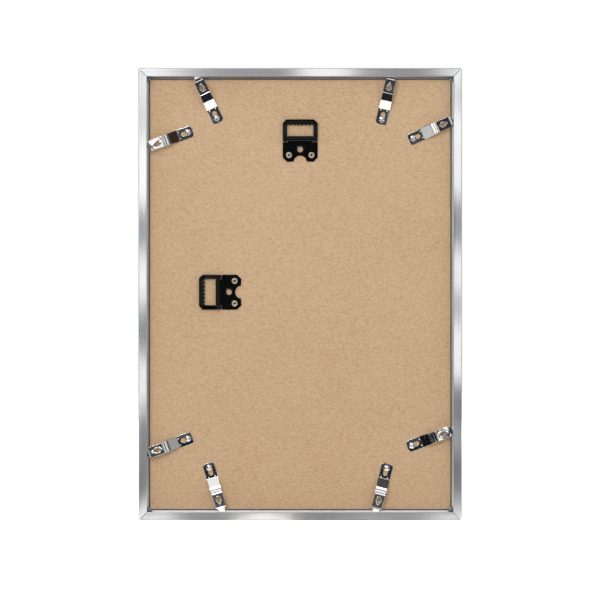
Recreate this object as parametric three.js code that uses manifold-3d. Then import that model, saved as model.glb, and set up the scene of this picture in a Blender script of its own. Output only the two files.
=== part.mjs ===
// Slim silver-coloured photo frame with a fibreboard back, eight spring clips and two sawtooth hangers.
// Millimetres. Seen from behind, +X is right and +Z is up; +Y points out through the picture.
// The origin lies in the wall plane, at the nail seat of the upright hanger.
import * as THREE from 'three';
import { mergeVertices } from 'three/addons/utils/BufferGeometryUtils.js';
import loadManifold from 'manifold-3d';

const wasm = await loadManifold();
wasm.setup();

// Picture package: what the frame is made to hold
const PICTURE_WIDTH = 210;
const PICTURE_HEIGHT = 300;
const GLASS_THICKNESS = 2;
const SHEET_THICKNESS = 0.3;
const BOARD_THICKNESS = 2.5;
const LAYER_GAP = 0.15;
const REBATE_CLEARANCE = 0.65;

// Rail section: u runs inward from the outer face, v runs forward from the back plane
const RAIL_DEPTH = 15;
const RAIL_WALL = 1.2;
const FLANGE_WIDTH = 5.95;
const FLANGE_THICKNESS = 1.1;
const GROOVE_HEIGHT = 3;
const LEDGE_WIDTH = 7.1;
const LEDGE_THICKNESS = 1;
const REBATE_WALL = 1;
const FRONT_THICKNESS = 1.2;
const LIP_OVERHANG = 4;
const RAIL_EDGE_RADIUS = 0.6;
const FLANGE_EDGE_RADIUS = 0.35;
const MITRE_GAP = 0.15;

// Corner angles: flat steel elbows in the groove of the rails
const ANGLE_ARM = 20;
const ANGLE_WIDTH = 4.2;
const ANGLE_FILLET = 6.5;
const ANGLE_CLEARANCE = 0.25;

// Spring clips: lengths run along the clip from the rivet to the tip, heights rise from the board
const CLIP_STEEL = 0.5;
const CLIP_SEAT_GAP = 0.15;
const CLIP_TAIL = 3.5;
const CLIP_TAIL_BOW = 0.5;
const CLIP_TAIL_BOW_RADIUS = 12;
const CLIP_FOOT = 7.5;
const CLIP_RAMP = 6.6;
const CLIP_BAND = 4.2;
const CLIP_BAND_RISE = 0.9;
const CLIP_FLAT = 9.8;
const CLIP_FLAT_RISE = 0.4;
const CLIP_SHOULDER = 1.2;
const CLIP_SHOULDER_RISE = 0.5;
const CLIP_TONGUE = 4.1;
const CLIP_FOOT_WIDTH = 8.4;
const CLIP_FLAT_WIDTH = 7.5;
const CLIP_TONGUE_WIDTH = 5;
const CLIP_TIP_WIDTH = 3.8;
const CLIP_CORNER_RADIUS = 0.9;
const CLIP_TAIL_CORNER_RADIUS = 1.9;
const CLIP_BEND_RADIUS = 1.2;
const CLIP_FLANGE_GAP = 0.3;
const CLIP_SLOT_TRAVEL = 3.9;
const CLIP_SLOT_CLEARANCE = 0.25;
const TEARDROP_RADIUS = 1.7;
const TEARDROP_POINT = 3.5;
const TEARDROP_SETBACK = 4.3;
const TEARDROP_RIM = 0.6;
const TEARDROP_RIM_HEIGHT = 0.5;
const PIP_RADIUS = 0.55;
const PIP_SPACING = 4.5;
const PIP_SETBACK = 1;

// Clip rivets: domed head, shank through slot and board, tail sunk in the front of the board
const RIVET_HEAD_RADIUS = 2.2;
const RIVET_HEAD_HEIGHT = 1.3;
const RIVET_SHANK_RADIUS = 1.3;
const RIVET_TAIL_RADIUS = 2.1;
const RIVET_TAIL_THICKNESS = 0.4;
const RIVET_CLEARANCE = 0.25;
const COUNTERBORE_DEPTH = 0.9;

// Hinged sawtooth hangers: reaches run from the hinge axis, towards the teeth or down the plate
const HANGER_STEEL = 0.9;
const HANGER_WIDTH = 24.5;
const HANGER_SEAT_GAP = 0.15;
const BAIL_REACH = 13.6;
const BAIL_ARM_WIDTH = 3.1;
const BAIL_BAR_WIDTH = 3.3;
const BAIL_CORNER = 2.6;
const TOOTH_GULLETS = 7;
const TOOTH_DEPTH = 1.3;
const PLATE_REACH = 16;
const PLATE_CHAMFER = 3;
const NOTCH_RADIUS = 4.6;
const NOTCH_DEPTH = 4.25;
const BARREL_RADIUS = 2;
const BARREL_WALL = 0.8;
const BARREL_SEAM = 55;
const HINGE_CLEARANCE = 0.3;
const CENTRE_HOLE_RADIUS = 1.9;
const CENTRE_HOLE_REACH = 7.4;
const COLLAR_WALL = 0.55;
const COLLAR_HEIGHT = 0.4;
const EYELET_INSET = 4.4;
const EYELET_REACH = 11.3;
const EYELET_BORE_RADIUS = 0.9;
const EYELET_WALL = 0.5;
const EYELET_HEAD_RADIUS = 2.1;
const EYELET_HEAD_HEIGHT = 0.6;

// Where the hangers sit: hinge axis to the outer edge of the nearest rail, and offset along that rail
const PORTRAIT_EDGE_DISTANCE = 49.1;
const LANDSCAPE_EDGE_DISTANCE = 55.6;
const LANDSCAPE_OFFSET = 1.5;

// Where the clips sit: distance of each rivet from the nearest outer corner, along its rail
const TOP_LEFT_CORNER = 54.4;
const TOP_RIGHT_CORNER = 55.6;
const RIGHT_UPPER_CORNER = 48.8;
const RIGHT_LOWER_CORNER = 52;
const BOTTOM_RIGHT_CORNER = 52.3;
const BOTTOM_LEFT_CORNER = 49.2;
const LEFT_LOWER_CORNER = 56.8;
const LEFT_UPPER_CORNER = 44.5;

// How far the tip of each clip reaches under the flange
const TOP_LEFT_GRIP = 1.4;
const TOP_RIGHT_GRIP = 2.9;
const RIGHT_UPPER_GRIP = 2.5;
const RIGHT_LOWER_GRIP = 2.4;
const BOTTOM_RIGHT_GRIP = 2.1;
const BOTTOM_LEFT_GRIP = 1.4;
const LEFT_LOWER_GRIP = 3;
const LEFT_UPPER_GRIP = 2.9;

// Each clip: its rail, the end of the rail that its rivet is measured from, and its lean in degrees from
// square to the rail, counterclockwise seen from behind
const CLIPS = [
  ['top_left', 'top', -1, TOP_LEFT_CORNER, 25.5, TOP_LEFT_GRIP],
  ['top_right', 'top', 1, TOP_RIGHT_CORNER, -12.5, TOP_RIGHT_GRIP],
  ['right_upper', 'right', 1, RIGHT_UPPER_CORNER, 24.8, RIGHT_UPPER_GRIP],
  ['right_lower', 'right', -1, RIGHT_LOWER_CORNER, 21.4, RIGHT_LOWER_GRIP],
  ['bottom_right', 'bottom', 1, BOTTOM_RIGHT_CORNER, -14.6, BOTTOM_RIGHT_GRIP],
  ['bottom_left', 'bottom', -1, BOTTOM_LEFT_CORNER, 16.9, BOTTOM_LEFT_GRIP],
  ['left_lower', 'left', -1, LEFT_LOWER_CORNER, 20.1, LEFT_LOWER_GRIP],
  ['left_upper', 'left', 1, LEFT_UPPER_CORNER, 20.1, LEFT_UPPER_GRIP],
].map(([name, rail, end, corner, lean, grip]) => ({ name, rail, end, corner, lean, grip }));

// Sizes that follow from the ones above
const OUTER_WIDTH = PICTURE_WIDTH + 2 * (REBATE_CLEARANCE + LEDGE_WIDTH);
const OUTER_HEIGHT = PICTURE_HEIGHT + 2 * (REBATE_CLEARANCE + LEDGE_WIDTH);
const LEDGE_TOP = FLANGE_THICKNESS + GROOVE_HEIGHT;
const GLASS_FRONT = RAIL_DEPTH - FRONT_THICKNESS - LAYER_GAP;
const SHEET_FRONT = GLASS_FRONT - GLASS_THICKNESS - LAYER_GAP;
const BOARD_FRONT = SHEET_FRONT - SHEET_THICKNESS - LAYER_GAP;
const BOARD_BACK = BOARD_FRONT - BOARD_THICKNESS;
const CLIP_REACH = CLIP_FOOT + CLIP_RAMP + CLIP_BAND + CLIP_FLAT + CLIP_SHOULDER + CLIP_TONGUE;
const HINGE_HEIGHT = HANGER_SEAT_GAP + BARREL_RADIUS;
const HINGE_BAR_RADIUS = BARREL_RADIUS - BARREL_WALL - HINGE_CLEARANCE;
const GULLET_REACH = BAIL_REACH - BAIL_BAR_WIDTH;
const EYELET_SPACING = HANGER_WIDTH - 2 * EYELET_INSET;
const EYELET_BARREL_RADIUS = EYELET_BORE_RADIUS + EYELET_WALL;
const NAIL_HEIGHT = OUTER_HEIGHT / 2 - PORTRAIT_EDGE_DISTANCE + GULLET_REACH;
const ROUND_SIDES = 16;
const ARC_STEP = Math.PI / 4;

const RAILS = {
  right: { angle: 0, length: OUTER_HEIGHT, offset: OUTER_WIDTH / 2 },
  top: { angle: 90, length: OUTER_WIDTH, offset: OUTER_HEIGHT / 2 },
  left: { angle: 180, length: OUTER_HEIGHT, offset: OUTER_WIDTH / 2 },
  bottom: { angle: 270, length: OUTER_WIDTH, offset: OUTER_HEIGHT / 2 },
};

const radians = THREE.MathUtils.degToRad;

const FINISHES = {
  silver: new THREE.MeshStandardMaterial({ color: '#c9cacc', roughness: 0.28, metalness: 1 }),
  darkSteel: new THREE.MeshStandardMaterial({ color: '#59626c', roughness: 0.45, metalness: 1 }),
  fibreboard: new THREE.MeshStandardMaterial({ color: '#c6a783', roughness: 0.9, metalness: 0 }),
  nickel: new THREE.MeshStandardMaterial({ color: '#d4d3cf', roughness: 0.12, metalness: 1 }),
  blackEnamel: new THREE.MeshStandardMaterial({ color: '#0d0d0f', roughness: 0.3, metalness: 0 }),
  eyelet: new THREE.MeshStandardMaterial({ color: '#c8bda9', roughness: 0.3, metalness: 1 }),
  glass: new THREE.MeshStandardMaterial({
    color: '#eef4f2', roughness: 0.02, metalness: 0, transparent: true, opacity: 0.25,
  }),
  paper: new THREE.MeshStandardMaterial({ color: '#f3f1ec', roughness: 0.85, metalness: 0 }),
};

// Solids: closed geometries that can be joined and cut

function toSolid(geometry) {
  const bare = geometry.clone();
  bare.deleteAttribute('normal');
  bare.deleteAttribute('uv');
  const merged = mergeVertices(bare);
  const index = merged.index.array;
  const triangles = [];
  for (let i = 0; i < index.length; i += 3) {
    const [a, b, c] = index.slice(i, i + 3);
    if (a !== b && b !== c && c !== a) triangles.push(a, b, c);
  }
  return new wasm.Manifold(new wasm.Mesh({
    numProp: 3,
    vertProperties: new Float32Array(merged.attributes.position.array),
    triVerts: new Uint32Array(triangles),
  }));
}

function toGeometry(solid) {
  const mesh = solid.getMesh();
  const geometry = new THREE.BufferGeometry();
  geometry.setAttribute('position', new THREE.BufferAttribute(mesh.vertProperties, 3));
  geometry.setIndex(new THREE.BufferAttribute(mesh.triVerts, 1));
  geometry.computeVertexNormals();
  return geometry;
}

// Outlines: arcs are cut into eighth turns, so that every round stretch gets the same facets

function addArc(path, x, y, radius, start, end) {
  const pieces = Math.max(1, Math.round(Math.abs(end - start) / ARC_STEP));
  for (let i = 0; i < pieces; i += 1) {
    const from = start + ((end - start) * i) / pieces;
    const to = start + ((end - start) * (i + 1)) / pieces;
    path.absarc(x, y, radius, from, to, end < start);
  }
}

function circle(x, y, radius) {
  const path = new THREE.Path();
  addArc(path, x, y, radius, 0, 2 * Math.PI);
  return path;
}

// A closed outline through corners [x, y, radius], each rounded by an arc of its radius
function roundedOutline(corners) {
  const shape = new THREE.Shape();
  corners.forEach(([x, y, radius = 0], i) => {
    const corner = new THREE.Vector2(x, y);
    if (radius <= 0) {
      if (i === 0) shape.moveTo(x, y);
      else shape.lineTo(x, y);
      return;
    }
    const before = corners[(i + corners.length - 1) % corners.length];
    const after = corners[(i + 1) % corners.length];
    const back = new THREE.Vector2(before[0] - x, before[1] - y).normalize();
    const ahead = new THREE.Vector2(after[0] - x, after[1] - y).normalize();
    const half = Math.acos(THREE.MathUtils.clamp(back.dot(ahead), -1, 1)) / 2;
    const centre = back.clone().add(ahead).normalize().multiplyScalar(radius / Math.sin(half)).add(corner);
    const first = back.multiplyScalar(radius / Math.tan(half)).add(corner).sub(centre);
    const last = ahead.multiplyScalar(radius / Math.tan(half)).add(corner).sub(centre);
    const start = first.angle();
    const turn = Math.atan2(first.cross(last), first.dot(last));
    if (i === 0) shape.moveTo(centre.x + first.x, centre.y + first.y);
    else shape.lineTo(centre.x + first.x, centre.y + first.y);
    addArc(shape, centre.x, centre.y, radius, start, start + turn);
  });
  shape.closePath();
  return shape;
}

// An outline in the x-y plane, drawn up from one height to another
function prism(shape, low, high) {
  const geometry = new THREE.ExtrudeGeometry(shape, {
    depth: high - low, bevelEnabled: false, curveSegments: 1,
  });
  return geometry.translate(0, 0, low);
}

// A side view in x and height, drawn across the width from -width/2 to width/2
function slab(shape, width) {
  return prism(shape, -width / 2, width / 2).rotateX(Math.PI / 2);
}

// A sheet seen from behind, between two depths from the back plane
function sheet(shape, back, front) {
  return prism(shape, 0, front - back).rotateX(Math.PI / 2).translate(0, front, 0);
}

function rod(radius, length) {
  return new THREE.CylinderGeometry(radius, radius, length, ROUND_SIDES);
}

// A round bar that stands along z between two heights
function post(x, y, radius, low, high) {
  return rod(radius, high - low).rotateX(Math.PI / 2).translate(x, y, (low + high) / 2);
}

// A turned piece about z from its profile of radius and height
function turned(profile) {
  const points = profile.map(([radius, height]) => new THREE.Vector2(radius, height));
  return new THREE.LatheGeometry(points, ROUND_SIDES).rotateX(Math.PI / 2);
}

function rectangle(width, height) {
  return roundedOutline([
    [-width / 2, -height / 2], [width / 2, -height / 2], [width / 2, height / 2], [-width / 2, height / 2],
  ]);
}

// Rails

function railSection() {
  const front = RAIL_DEPTH - FRONT_THICKNESS;
  const lip = LEDGE_WIDTH + LIP_OVERHANG;
  const section = roundedOutline([
    [0, 0, RAIL_EDGE_RADIUS],
    [FLANGE_WIDTH, 0, FLANGE_EDGE_RADIUS],
    [FLANGE_WIDTH, FLANGE_THICKNESS, FLANGE_EDGE_RADIUS],
    [RAIL_WALL, FLANGE_THICKNESS],
    [RAIL_WALL, LEDGE_TOP],
    [LEDGE_WIDTH, LEDGE_TOP, FLANGE_EDGE_RADIUS],
    [LEDGE_WIDTH, front],
    [lip, front, FLANGE_EDGE_RADIUS],
    [lip, RAIL_DEPTH, FLANGE_EDGE_RADIUS],
    [0, RAIL_DEPTH, RAIL_EDGE_RADIUS],
  ]);
  section.holes.push(roundedOutline([
    [RAIL_WALL, LEDGE_TOP + LEDGE_THICKNESS],
    [LEDGE_WIDTH - REBATE_WALL, LEDGE_TOP + LEDGE_THICKNESS],
    [LEDGE_WIDTH - REBATE_WALL, front],
    [RAIL_WALL, front],
  ]));
  return section;
}

// The section drawn along the rail, with both ends cut back by u so that they meet at 45 degrees
function mitredRail(length) {
  const geometry = prism(railSection(), -length / 2, length / 2);
  const position = geometry.attributes.position;
  for (let i = 0; i < position.count; i += 1) {
    const cut = position.getX(i) + MITRE_GAP / Math.SQRT2;
    position.setZ(i, Math.sign(position.getZ(i)) * (length / 2 - cut));
  }
  geometry.computeVertexNormals();
  return geometry;
}

function addRails(frame) {
  for (const [name, { angle, length, offset }] of Object.entries(RAILS)) {
    const rail = new THREE.Mesh(mitredRail(length), FINISHES.silver);
    rail.name = `rail_${name}`;
    rail.position.set(offset * Math.cos(radians(angle)), 0, offset * Math.sin(radians(angle)));
    rail.rotation.y = Math.PI - radians(angle);
    frame.add(rail);
  }
}

function cornerAngle() {
  const outer = RAIL_WALL + ANGLE_CLEARANCE;
  const inner = outer + ANGLE_WIDTH;
  const end = outer + ANGLE_ARM;
  const elbow = roundedOutline([
    [-outer, -outer, RAIL_EDGE_RADIUS],
    [-end, -outer],
    [-end, -inner],
    [-inner, -inner, ANGLE_FILLET],
    [-inner, -end],
    [-outer, -end],
  ]);
  return sheet(elbow, FLANGE_THICKNESS + ANGLE_CLEARANCE, LEDGE_TOP - ANGLE_CLEARANCE);
}

function addCornerAngles(frame) {
  const corners = [
    ['top_right', 1, 1], ['top_left', -1, 1], ['bottom_left', -1, -1], ['bottom_right', 1, -1],
  ];
  corners.forEach(([name, right, up], quarter) => {
    const angle = new THREE.Mesh(cornerAngle(), FINISHES.darkSteel);
    angle.name = `corner_angle_${name}`;
    angle.position.set((right * OUTER_WIDTH) / 2, 0, (up * OUTER_HEIGHT) / 2);
    angle.rotation.y = (-quarter * Math.PI) / 2;
    frame.add(angle);
  });
}

// Places on the board: a group there has x and y along the board and z away from it, towards the wall

function placeOnBoard(x, z, turn) {
  const swing = new THREE.Group();
  swing.position.set(x, BOARD_BACK, z);
  swing.rotation.set(Math.PI / 2, -turn, 0, 'YXZ');
  return swing;
}

function clipPlace({ rail, end, corner, lean, grip }) {
  const { angle, length, offset } = RAILS[rail];
  const out = radians(angle);
  const inset = offset - FLANGE_WIDTH + grip - CLIP_REACH * Math.cos(radians(lean));
  const along = end * (length / 2 - corner);
  const alongX = Math.abs(Math.sin(out));
  return placeOnBoard(
    inset * Math.cos(out) + along * alongX,
    inset * Math.sin(out) + along * (1 - alongX),
    out + radians(lean),
  );
}

function hangerPlaces() {
  return {
    portrait: placeOnBoard(0, OUTER_HEIGHT / 2 - PORTRAIT_EDGE_DISTANCE, 0),
    landscape: placeOnBoard(LANDSCAPE_EDGE_DISTANCE - OUTER_WIDTH / 2, LANDSCAPE_OFFSET, Math.PI / 2),
  };
}

// Spring clips

// The side view of a sheet bent along a path, between two heights off its middle plane
function bentStrip(path, low, high) {
  const edge = (height) => path.map((point, i) => {
    const before = path[Math.max(i - 1, 0)];
    const after = path[Math.min(i + 1, path.length - 1)];
    const into = point.clone().sub(before).normalize();
    const away = after.clone().sub(point).normalize();
    const ended = i === 0 || i === path.length - 1;
    const run = i === 0 ? away : into;
    const normal = new THREE.Vector2(-run.y, run.x);
    if (ended) return [point.x + normal.x * height, point.y + normal.y * height, 0];
    const turn = Math.atan2(into.cross(away), into.dot(away));
    const slip = -height * Math.tan(turn / 2);
    return [
      point.x + normal.x * height + into.x * slip,
      point.y + normal.y * height + into.y * slip,
      CLIP_BEND_RADIUS - Math.sign(turn) * height,
    ];
  });
  return roundedOutline([...edge(low), ...edge(high).reverse()]);
}

function clipPath() {
  const foot = CLIP_SEAT_GAP + CLIP_STEEL / 2;
  const tongue = BOARD_BACK - FLANGE_THICKNESS - CLIP_FLANGE_GAP - CLIP_STEEL / 2;
  const flatEnd = tongue - CLIP_SHOULDER_RISE;
  const bandEnd = flatEnd - CLIP_FLAT_RISE;
  const crest = bandEnd - CLIP_BAND_RISE;
  const path = [new THREE.Vector2(-CLIP_TAIL, foot)];
  const run = (length, height) => path.push(new THREE.Vector2(Math.max(path.at(-1).x, 0) + length, height));
  run(CLIP_FOOT, foot);
  run(CLIP_RAMP, crest);
  run(CLIP_BAND, bandEnd);
  run(CLIP_FLAT, flatEnd);
  run(CLIP_SHOULDER, tongue);
  run(CLIP_TONGUE, tongue);
  return path;
}

// A round with two straight flanks that meet in a point along +x
function teardrop(x, radius) {
  const flank = Math.acos(TEARDROP_RADIUS / TEARDROP_POINT);
  const path = new THREE.Shape();
  addArc(path, x, 0, radius, flank, 2 * Math.PI - flank);
  path.lineTo(x + radius / Math.cos(flank), 0);
  path.closePath();
  return path;
}

function clipSlot() {
  const radius = RIVET_SHANK_RADIUS + CLIP_SLOT_CLEARANCE;
  const slot = new THREE.Path();
  addArc(slot, CLIP_SLOT_TRAVEL, 0, radius, -Math.PI / 2, Math.PI / 2);
  addArc(slot, 0, 0, radius, Math.PI / 2, (3 * Math.PI) / 2);
  slot.closePath();
  return slot;
}

function clipOutline(path) {
  const flatStart = path[3].x;
  const shoulder = path[4].x;
  const tongue = path[5].x;
  const side = (sign) => [
    [-CLIP_TAIL + CLIP_TAIL_BOW, (sign * CLIP_FOOT_WIDTH) / 2, CLIP_TAIL_CORNER_RADIUS],
    [CLIP_FOOT, (sign * CLIP_FOOT_WIDTH) / 2],
    [flatStart, (sign * CLIP_FLAT_WIDTH) / 2],
    [shoulder, (sign * CLIP_FLAT_WIDTH) / 2, CLIP_CORNER_RADIUS],
    [tongue, (sign * CLIP_TONGUE_WIDTH) / 2, CLIP_CORNER_RADIUS],
    [CLIP_REACH, (sign * CLIP_TIP_WIDTH) / 2, CLIP_CORNER_RADIUS],
  ];
  return roundedOutline([[-CLIP_TAIL, 0, CLIP_TAIL_BOW_RADIUS], ...side(-1), ...side(1).reverse()]);
}

function springClip() {
  const path = clipPath();
  const flat = path.slice(3, 5);
  const ceiling = BOARD_BACK;
  const hole = flat[0].x + TEARDROP_SETBACK;
  const outline = clipOutline(path);
  outline.holes.push(clipSlot(), teardrop(hole, TEARDROP_RADIUS));
  const rim = teardrop(hole, TEARDROP_RADIUS + TEARDROP_RIM);
  rim.holes.push(teardrop(hole, TEARDROP_RADIUS));
  const half = CLIP_STEEL / 2;
  const bent = toSolid(slab(bentStrip(path, -half, half), CLIP_FOOT_WIDTH));
  const raised = toSolid(slab(bentStrip(flat, 0, half + TEARDROP_RIM_HEIGHT), CLIP_FOOT_WIDTH));
  let clip = bent.intersect(toSolid(prism(outline, 0, ceiling)));
  clip = clip.add(raised.intersect(toSolid(prism(rim, 0, ceiling))));
  for (const side of [-1, 1]) {
    const pip = new THREE.SphereGeometry(PIP_RADIUS, ROUND_SIDES / 2, ROUND_SIDES / 4).rotateX(Math.PI / 2);
    pip.translate(CLIP_FOOT - PIP_SETBACK, (side * PIP_SPACING) / 2, path[0].y + half);
    clip = clip.add(toSolid(pip));
  }
  return toGeometry(clip);
}

// Head on the clip, shank through slot and board, tail in the counterbore at the front of the board
function clipRivet() {
  const seat = CLIP_SEAT_GAP + CLIP_STEEL + CLIP_SEAT_GAP;
  const tail = COUNTERBORE_DEPTH - BOARD_THICKNESS - RIVET_CLEARANCE;
  const steps = 4;
  const dome = [];
  for (let i = 0; i <= steps; i += 1) {
    const turn = (i / steps) * (Math.PI / 2);
    dome.push([RIVET_HEAD_RADIUS * Math.cos(turn), seat + RIVET_HEAD_HEIGHT * Math.sin(turn)]);
  }
  dome[steps][0] = 0;
  return turned([
    [0, tail - RIVET_TAIL_THICKNESS],
    [RIVET_TAIL_RADIUS, tail - RIVET_TAIL_THICKNESS],
    [RIVET_TAIL_RADIUS, tail],
    [RIVET_SHANK_RADIUS, tail],
    [RIVET_SHANK_RADIUS, seat],
    ...dome,
  ]);
}

function addClips(frame) {
  for (const place of CLIPS) {
    const group = clipPlace(place);
    const clip = new THREE.Mesh(springClip(), FINISHES.nickel);
    clip.name = `spring_clip_${place.name}`;
    const rivet = new THREE.Mesh(clipRivet(), FINISHES.nickel);
    rivet.name = `clip_rivet_${place.name}`;
    group.add(clip, rivet);
    frame.add(group);
  }
}

// Hangers: x across the hanger, y towards the teeth from the hinge axis, z away from the board

function hangerPlate() {
  const bottom = HANGER_SEAT_GAP;
  const top = bottom + HANGER_STEEL;
  const shoulder = -(BARREL_RADIUS + HINGE_CLEARANCE);
  const tabWidth = HANGER_WIDTH - 2 * (BAIL_ARM_WIDTH + HINGE_CLEARANCE);
  const outline = roundedOutline([
    [-HANGER_WIDTH / 2, shoulder],
    [-HANGER_WIDTH / 2, PLATE_CHAMFER - PLATE_REACH],
    [PLATE_CHAMFER - HANGER_WIDTH / 2, -PLATE_REACH],
    [HANGER_WIDTH / 2 - PLATE_CHAMFER, -PLATE_REACH],
    [HANGER_WIDTH / 2, PLATE_CHAMFER - PLATE_REACH],
    [HANGER_WIDTH / 2, shoulder],
  ]);
  for (const side of [-1, 1]) {
    const hole = EYELET_BARREL_RADIUS + RIVET_CLEARANCE;
    outline.holes.push(circle((side * EYELET_SPACING) / 2, -EYELET_REACH, hole));
  }
  const notchCentre = -PLATE_REACH - NOTCH_RADIUS + NOTCH_DEPTH;
  const drill = (x, y, radius) => toSolid(post(x, y, radius, bottom - BARREL_WALL, top + BARREL_RADIUS));
  return toGeometry(toSolid(prism(outline, bottom, top))
    .add(toSolid(rolledBarrel(shoulder, tabWidth)))
    .add(toSolid(post(0, -CENTRE_HOLE_REACH, CENTRE_HOLE_RADIUS + COLLAR_WALL, bottom, top + COLLAR_HEIGHT)))
    .subtract(drill(0, -CENTRE_HOLE_REACH, CENTRE_HOLE_RADIUS))
    .subtract(drill(0, notchCentre, NOTCH_RADIUS)));
}

// The tab of the plate, rolled up and over the hinge axis, with an open seam towards the plate
function rolledBarrel(shoulder, width) {
  const start = -Math.PI / 2;
  const end = Math.PI + radians(BARREL_SEAM);
  const inner = BARREL_RADIUS - BARREL_WALL;
  const root = shoulder - HANGER_STEEL;
  const roll = new THREE.Shape();
  roll.moveTo(root, -inner);
  roll.lineTo(root, -BARREL_RADIUS);
  addArc(roll, 0, 0, BARREL_RADIUS, start, end);
  addArc(roll, 0, 0, inner, end, start);
  roll.closePath();
  return slab(roll, width).rotateZ(Math.PI / 2).translate(0, 0, HINGE_HEIGHT);
}

function hangerBail() {
  const half = HANGER_WIDTH / 2;
  const window = half - BAIL_ARM_WIDTH;
  const pitch = (2 * window) / TOOTH_GULLETS;
  const corners = [
    [window, 0], [half, 0],
    [half, BAIL_REACH - BAIL_CORNER], [half - BAIL_CORNER, BAIL_REACH],
    [BAIL_CORNER - half, BAIL_REACH], [-half, BAIL_REACH - BAIL_CORNER],
    [-half, 0], [-window, 0],
  ];
  for (let i = 0; i < TOOTH_GULLETS; i += 1) {
    corners.push([i * pitch - window, GULLET_REACH - TOOTH_DEPTH]);
    corners.push([(i + 0.5) * pitch - window, GULLET_REACH]);
  }
  corners.push([window, GULLET_REACH - TOOTH_DEPTH]);
  const low = HINGE_HEIGHT - HANGER_STEEL / 2;
  let bail = toSolid(prism(roundedOutline(corners), low, low + HANGER_STEEL));
  const along = (radius, length, x) => (
    rod(radius, length).rotateZ(Math.PI / 2).translate(x, 0, HINGE_HEIGHT)
  );
  bail = bail.add(toSolid(along(HINGE_BAR_RADIUS, 2 * window + BAIL_ARM_WIDTH, 0)));
  for (const side of [-1, 1]) {
    bail = bail.add(toSolid(along(BARREL_RADIUS, BAIL_ARM_WIDTH, side * (half - BAIL_ARM_WIDTH / 2))));
  }
  return toGeometry(bail);
}

// A hollow rivet: rolled head on the plate, barrel through plate and board, flared tail in the counterbore
function hangerEyelet() {
  const seat = HANGER_SEAT_GAP + HANGER_STEEL + HANGER_SEAT_GAP;
  const tail = COUNTERBORE_DEPTH - BOARD_THICKNESS - RIVET_CLEARANCE;
  const end = tail - RIVET_TAIL_THICKNESS;
  const brow = seat + EYELET_HEAD_HEIGHT / 2;
  const crown = seat + EYELET_HEAD_HEIGHT;
  const crest = (EYELET_BORE_RADIUS + EYELET_HEAD_RADIUS) / 2;
  return turned([
    [EYELET_BORE_RADIUS, end],
    [RIVET_TAIL_RADIUS, end],
    [RIVET_TAIL_RADIUS, tail],
    [EYELET_BARREL_RADIUS, tail],
    [EYELET_BARREL_RADIUS, seat],
    [EYELET_HEAD_RADIUS, seat],
    [EYELET_HEAD_RADIUS, brow],
    [crest, crown],
    [EYELET_BORE_RADIUS, brow],
    [EYELET_BORE_RADIUS, end],
  ]);
}

function addHangers(frame) {
  for (const [name, group] of Object.entries(hangerPlaces())) {
    const plate = new THREE.Mesh(hangerPlate(), FINISHES.blackEnamel);
    plate.name = `hanger_plate_${name}`;
    const bail = new THREE.Mesh(hangerBail(), FINISHES.blackEnamel);
    bail.name = `hanger_bail_${name}`;
    group.add(plate, bail);
    for (const [side, sign] of [['a', -1], ['b', 1]]) {
      const eyelet = new THREE.Mesh(hangerEyelet(), FINISHES.eyelet);
      eyelet.name = `hanger_eyelet_${name}_${side}`;
      eyelet.position.set((sign * EYELET_SPACING) / 2, -EYELET_REACH, 0);
      group.add(eyelet);
    }
    frame.add(group);
  }
}

// Picture package

// Where rivets and eyelets pass the board, as points of the board's own plane
function boardHoles() {
  const holes = CLIPS.map((place) => ({
    centre: clipPlace(place).position, radius: RIVET_SHANK_RADIUS + RIVET_CLEARANCE,
  }));
  for (const group of Object.values(hangerPlaces())) {
    group.updateMatrix();
    for (const side of [-1, 1]) {
      const centre = new THREE.Vector3((side * EYELET_SPACING) / 2, -EYELET_REACH, 0);
      holes.push({
        centre: centre.applyMatrix4(group.matrix), radius: EYELET_BARREL_RADIUS + RIVET_CLEARANCE,
      });
    }
  }
  return holes;
}

function backBoard() {
  const outline = rectangle(PICTURE_WIDTH, PICTURE_HEIGHT);
  const holes = boardHoles();
  holes.forEach(({ centre, radius }) => outline.holes.push(circle(centre.x, centre.z, radius)));
  let board = toSolid(sheet(outline, BOARD_BACK, BOARD_FRONT));
  for (const { centre } of holes) {
    const counterbore = rod(RIVET_TAIL_RADIUS + RIVET_CLEARANCE, 2 * COUNTERBORE_DEPTH);
    board = board.subtract(toSolid(counterbore.translate(centre.x, BOARD_FRONT, centre.z)));
  }
  return toGeometry(board);
}

function addPackage(frame) {
  const picture = rectangle(PICTURE_WIDTH, PICTURE_HEIGHT);
  const layers = [
    ['glass_pane', sheet(picture, GLASS_FRONT - GLASS_THICKNESS, GLASS_FRONT), FINISHES.glass],
    ['photo_sheet', sheet(picture, SHEET_FRONT - SHEET_THICKNESS, SHEET_FRONT), FINISHES.paper],
    ['back_board', backBoard(), FINISHES.fibreboard],
  ];
  for (const [name, geometry, finish] of layers) {
    const layer = new THREE.Mesh(geometry, finish);
    layer.name = name;
    frame.add(layer);
  }
}

const frame = new THREE.Group();
frame.name = 'photo_frame';
frame.position.z = -NAIL_HEIGHT;
addRails(frame);
addCornerAngles(frame);
addPackage(frame);
addClips(frame);
addHangers(frame);

export default frame;
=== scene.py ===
"""Looks of a slim silver photo frame, seen from its back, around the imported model.

Sizes are in millimetres, and the scene is in metres. Seen from behind, +X is right and +Z is up, and +Y
points out through the picture. Rails, clips, rivets, hangers and eyelets get finer skins than their solids
have. The board, the glass, the sheet and the corner angles keep their solids and get finishes.
"""

from __future__ import annotations

import logging
import math
from dataclasses import dataclass, field, replace
from enum import Enum
from typing import Callable, Sequence

import bpy
import numpy as np
from mathutils import Matrix, Vector
from mathutils.geometry import delaunay_2d_cdt

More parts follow.
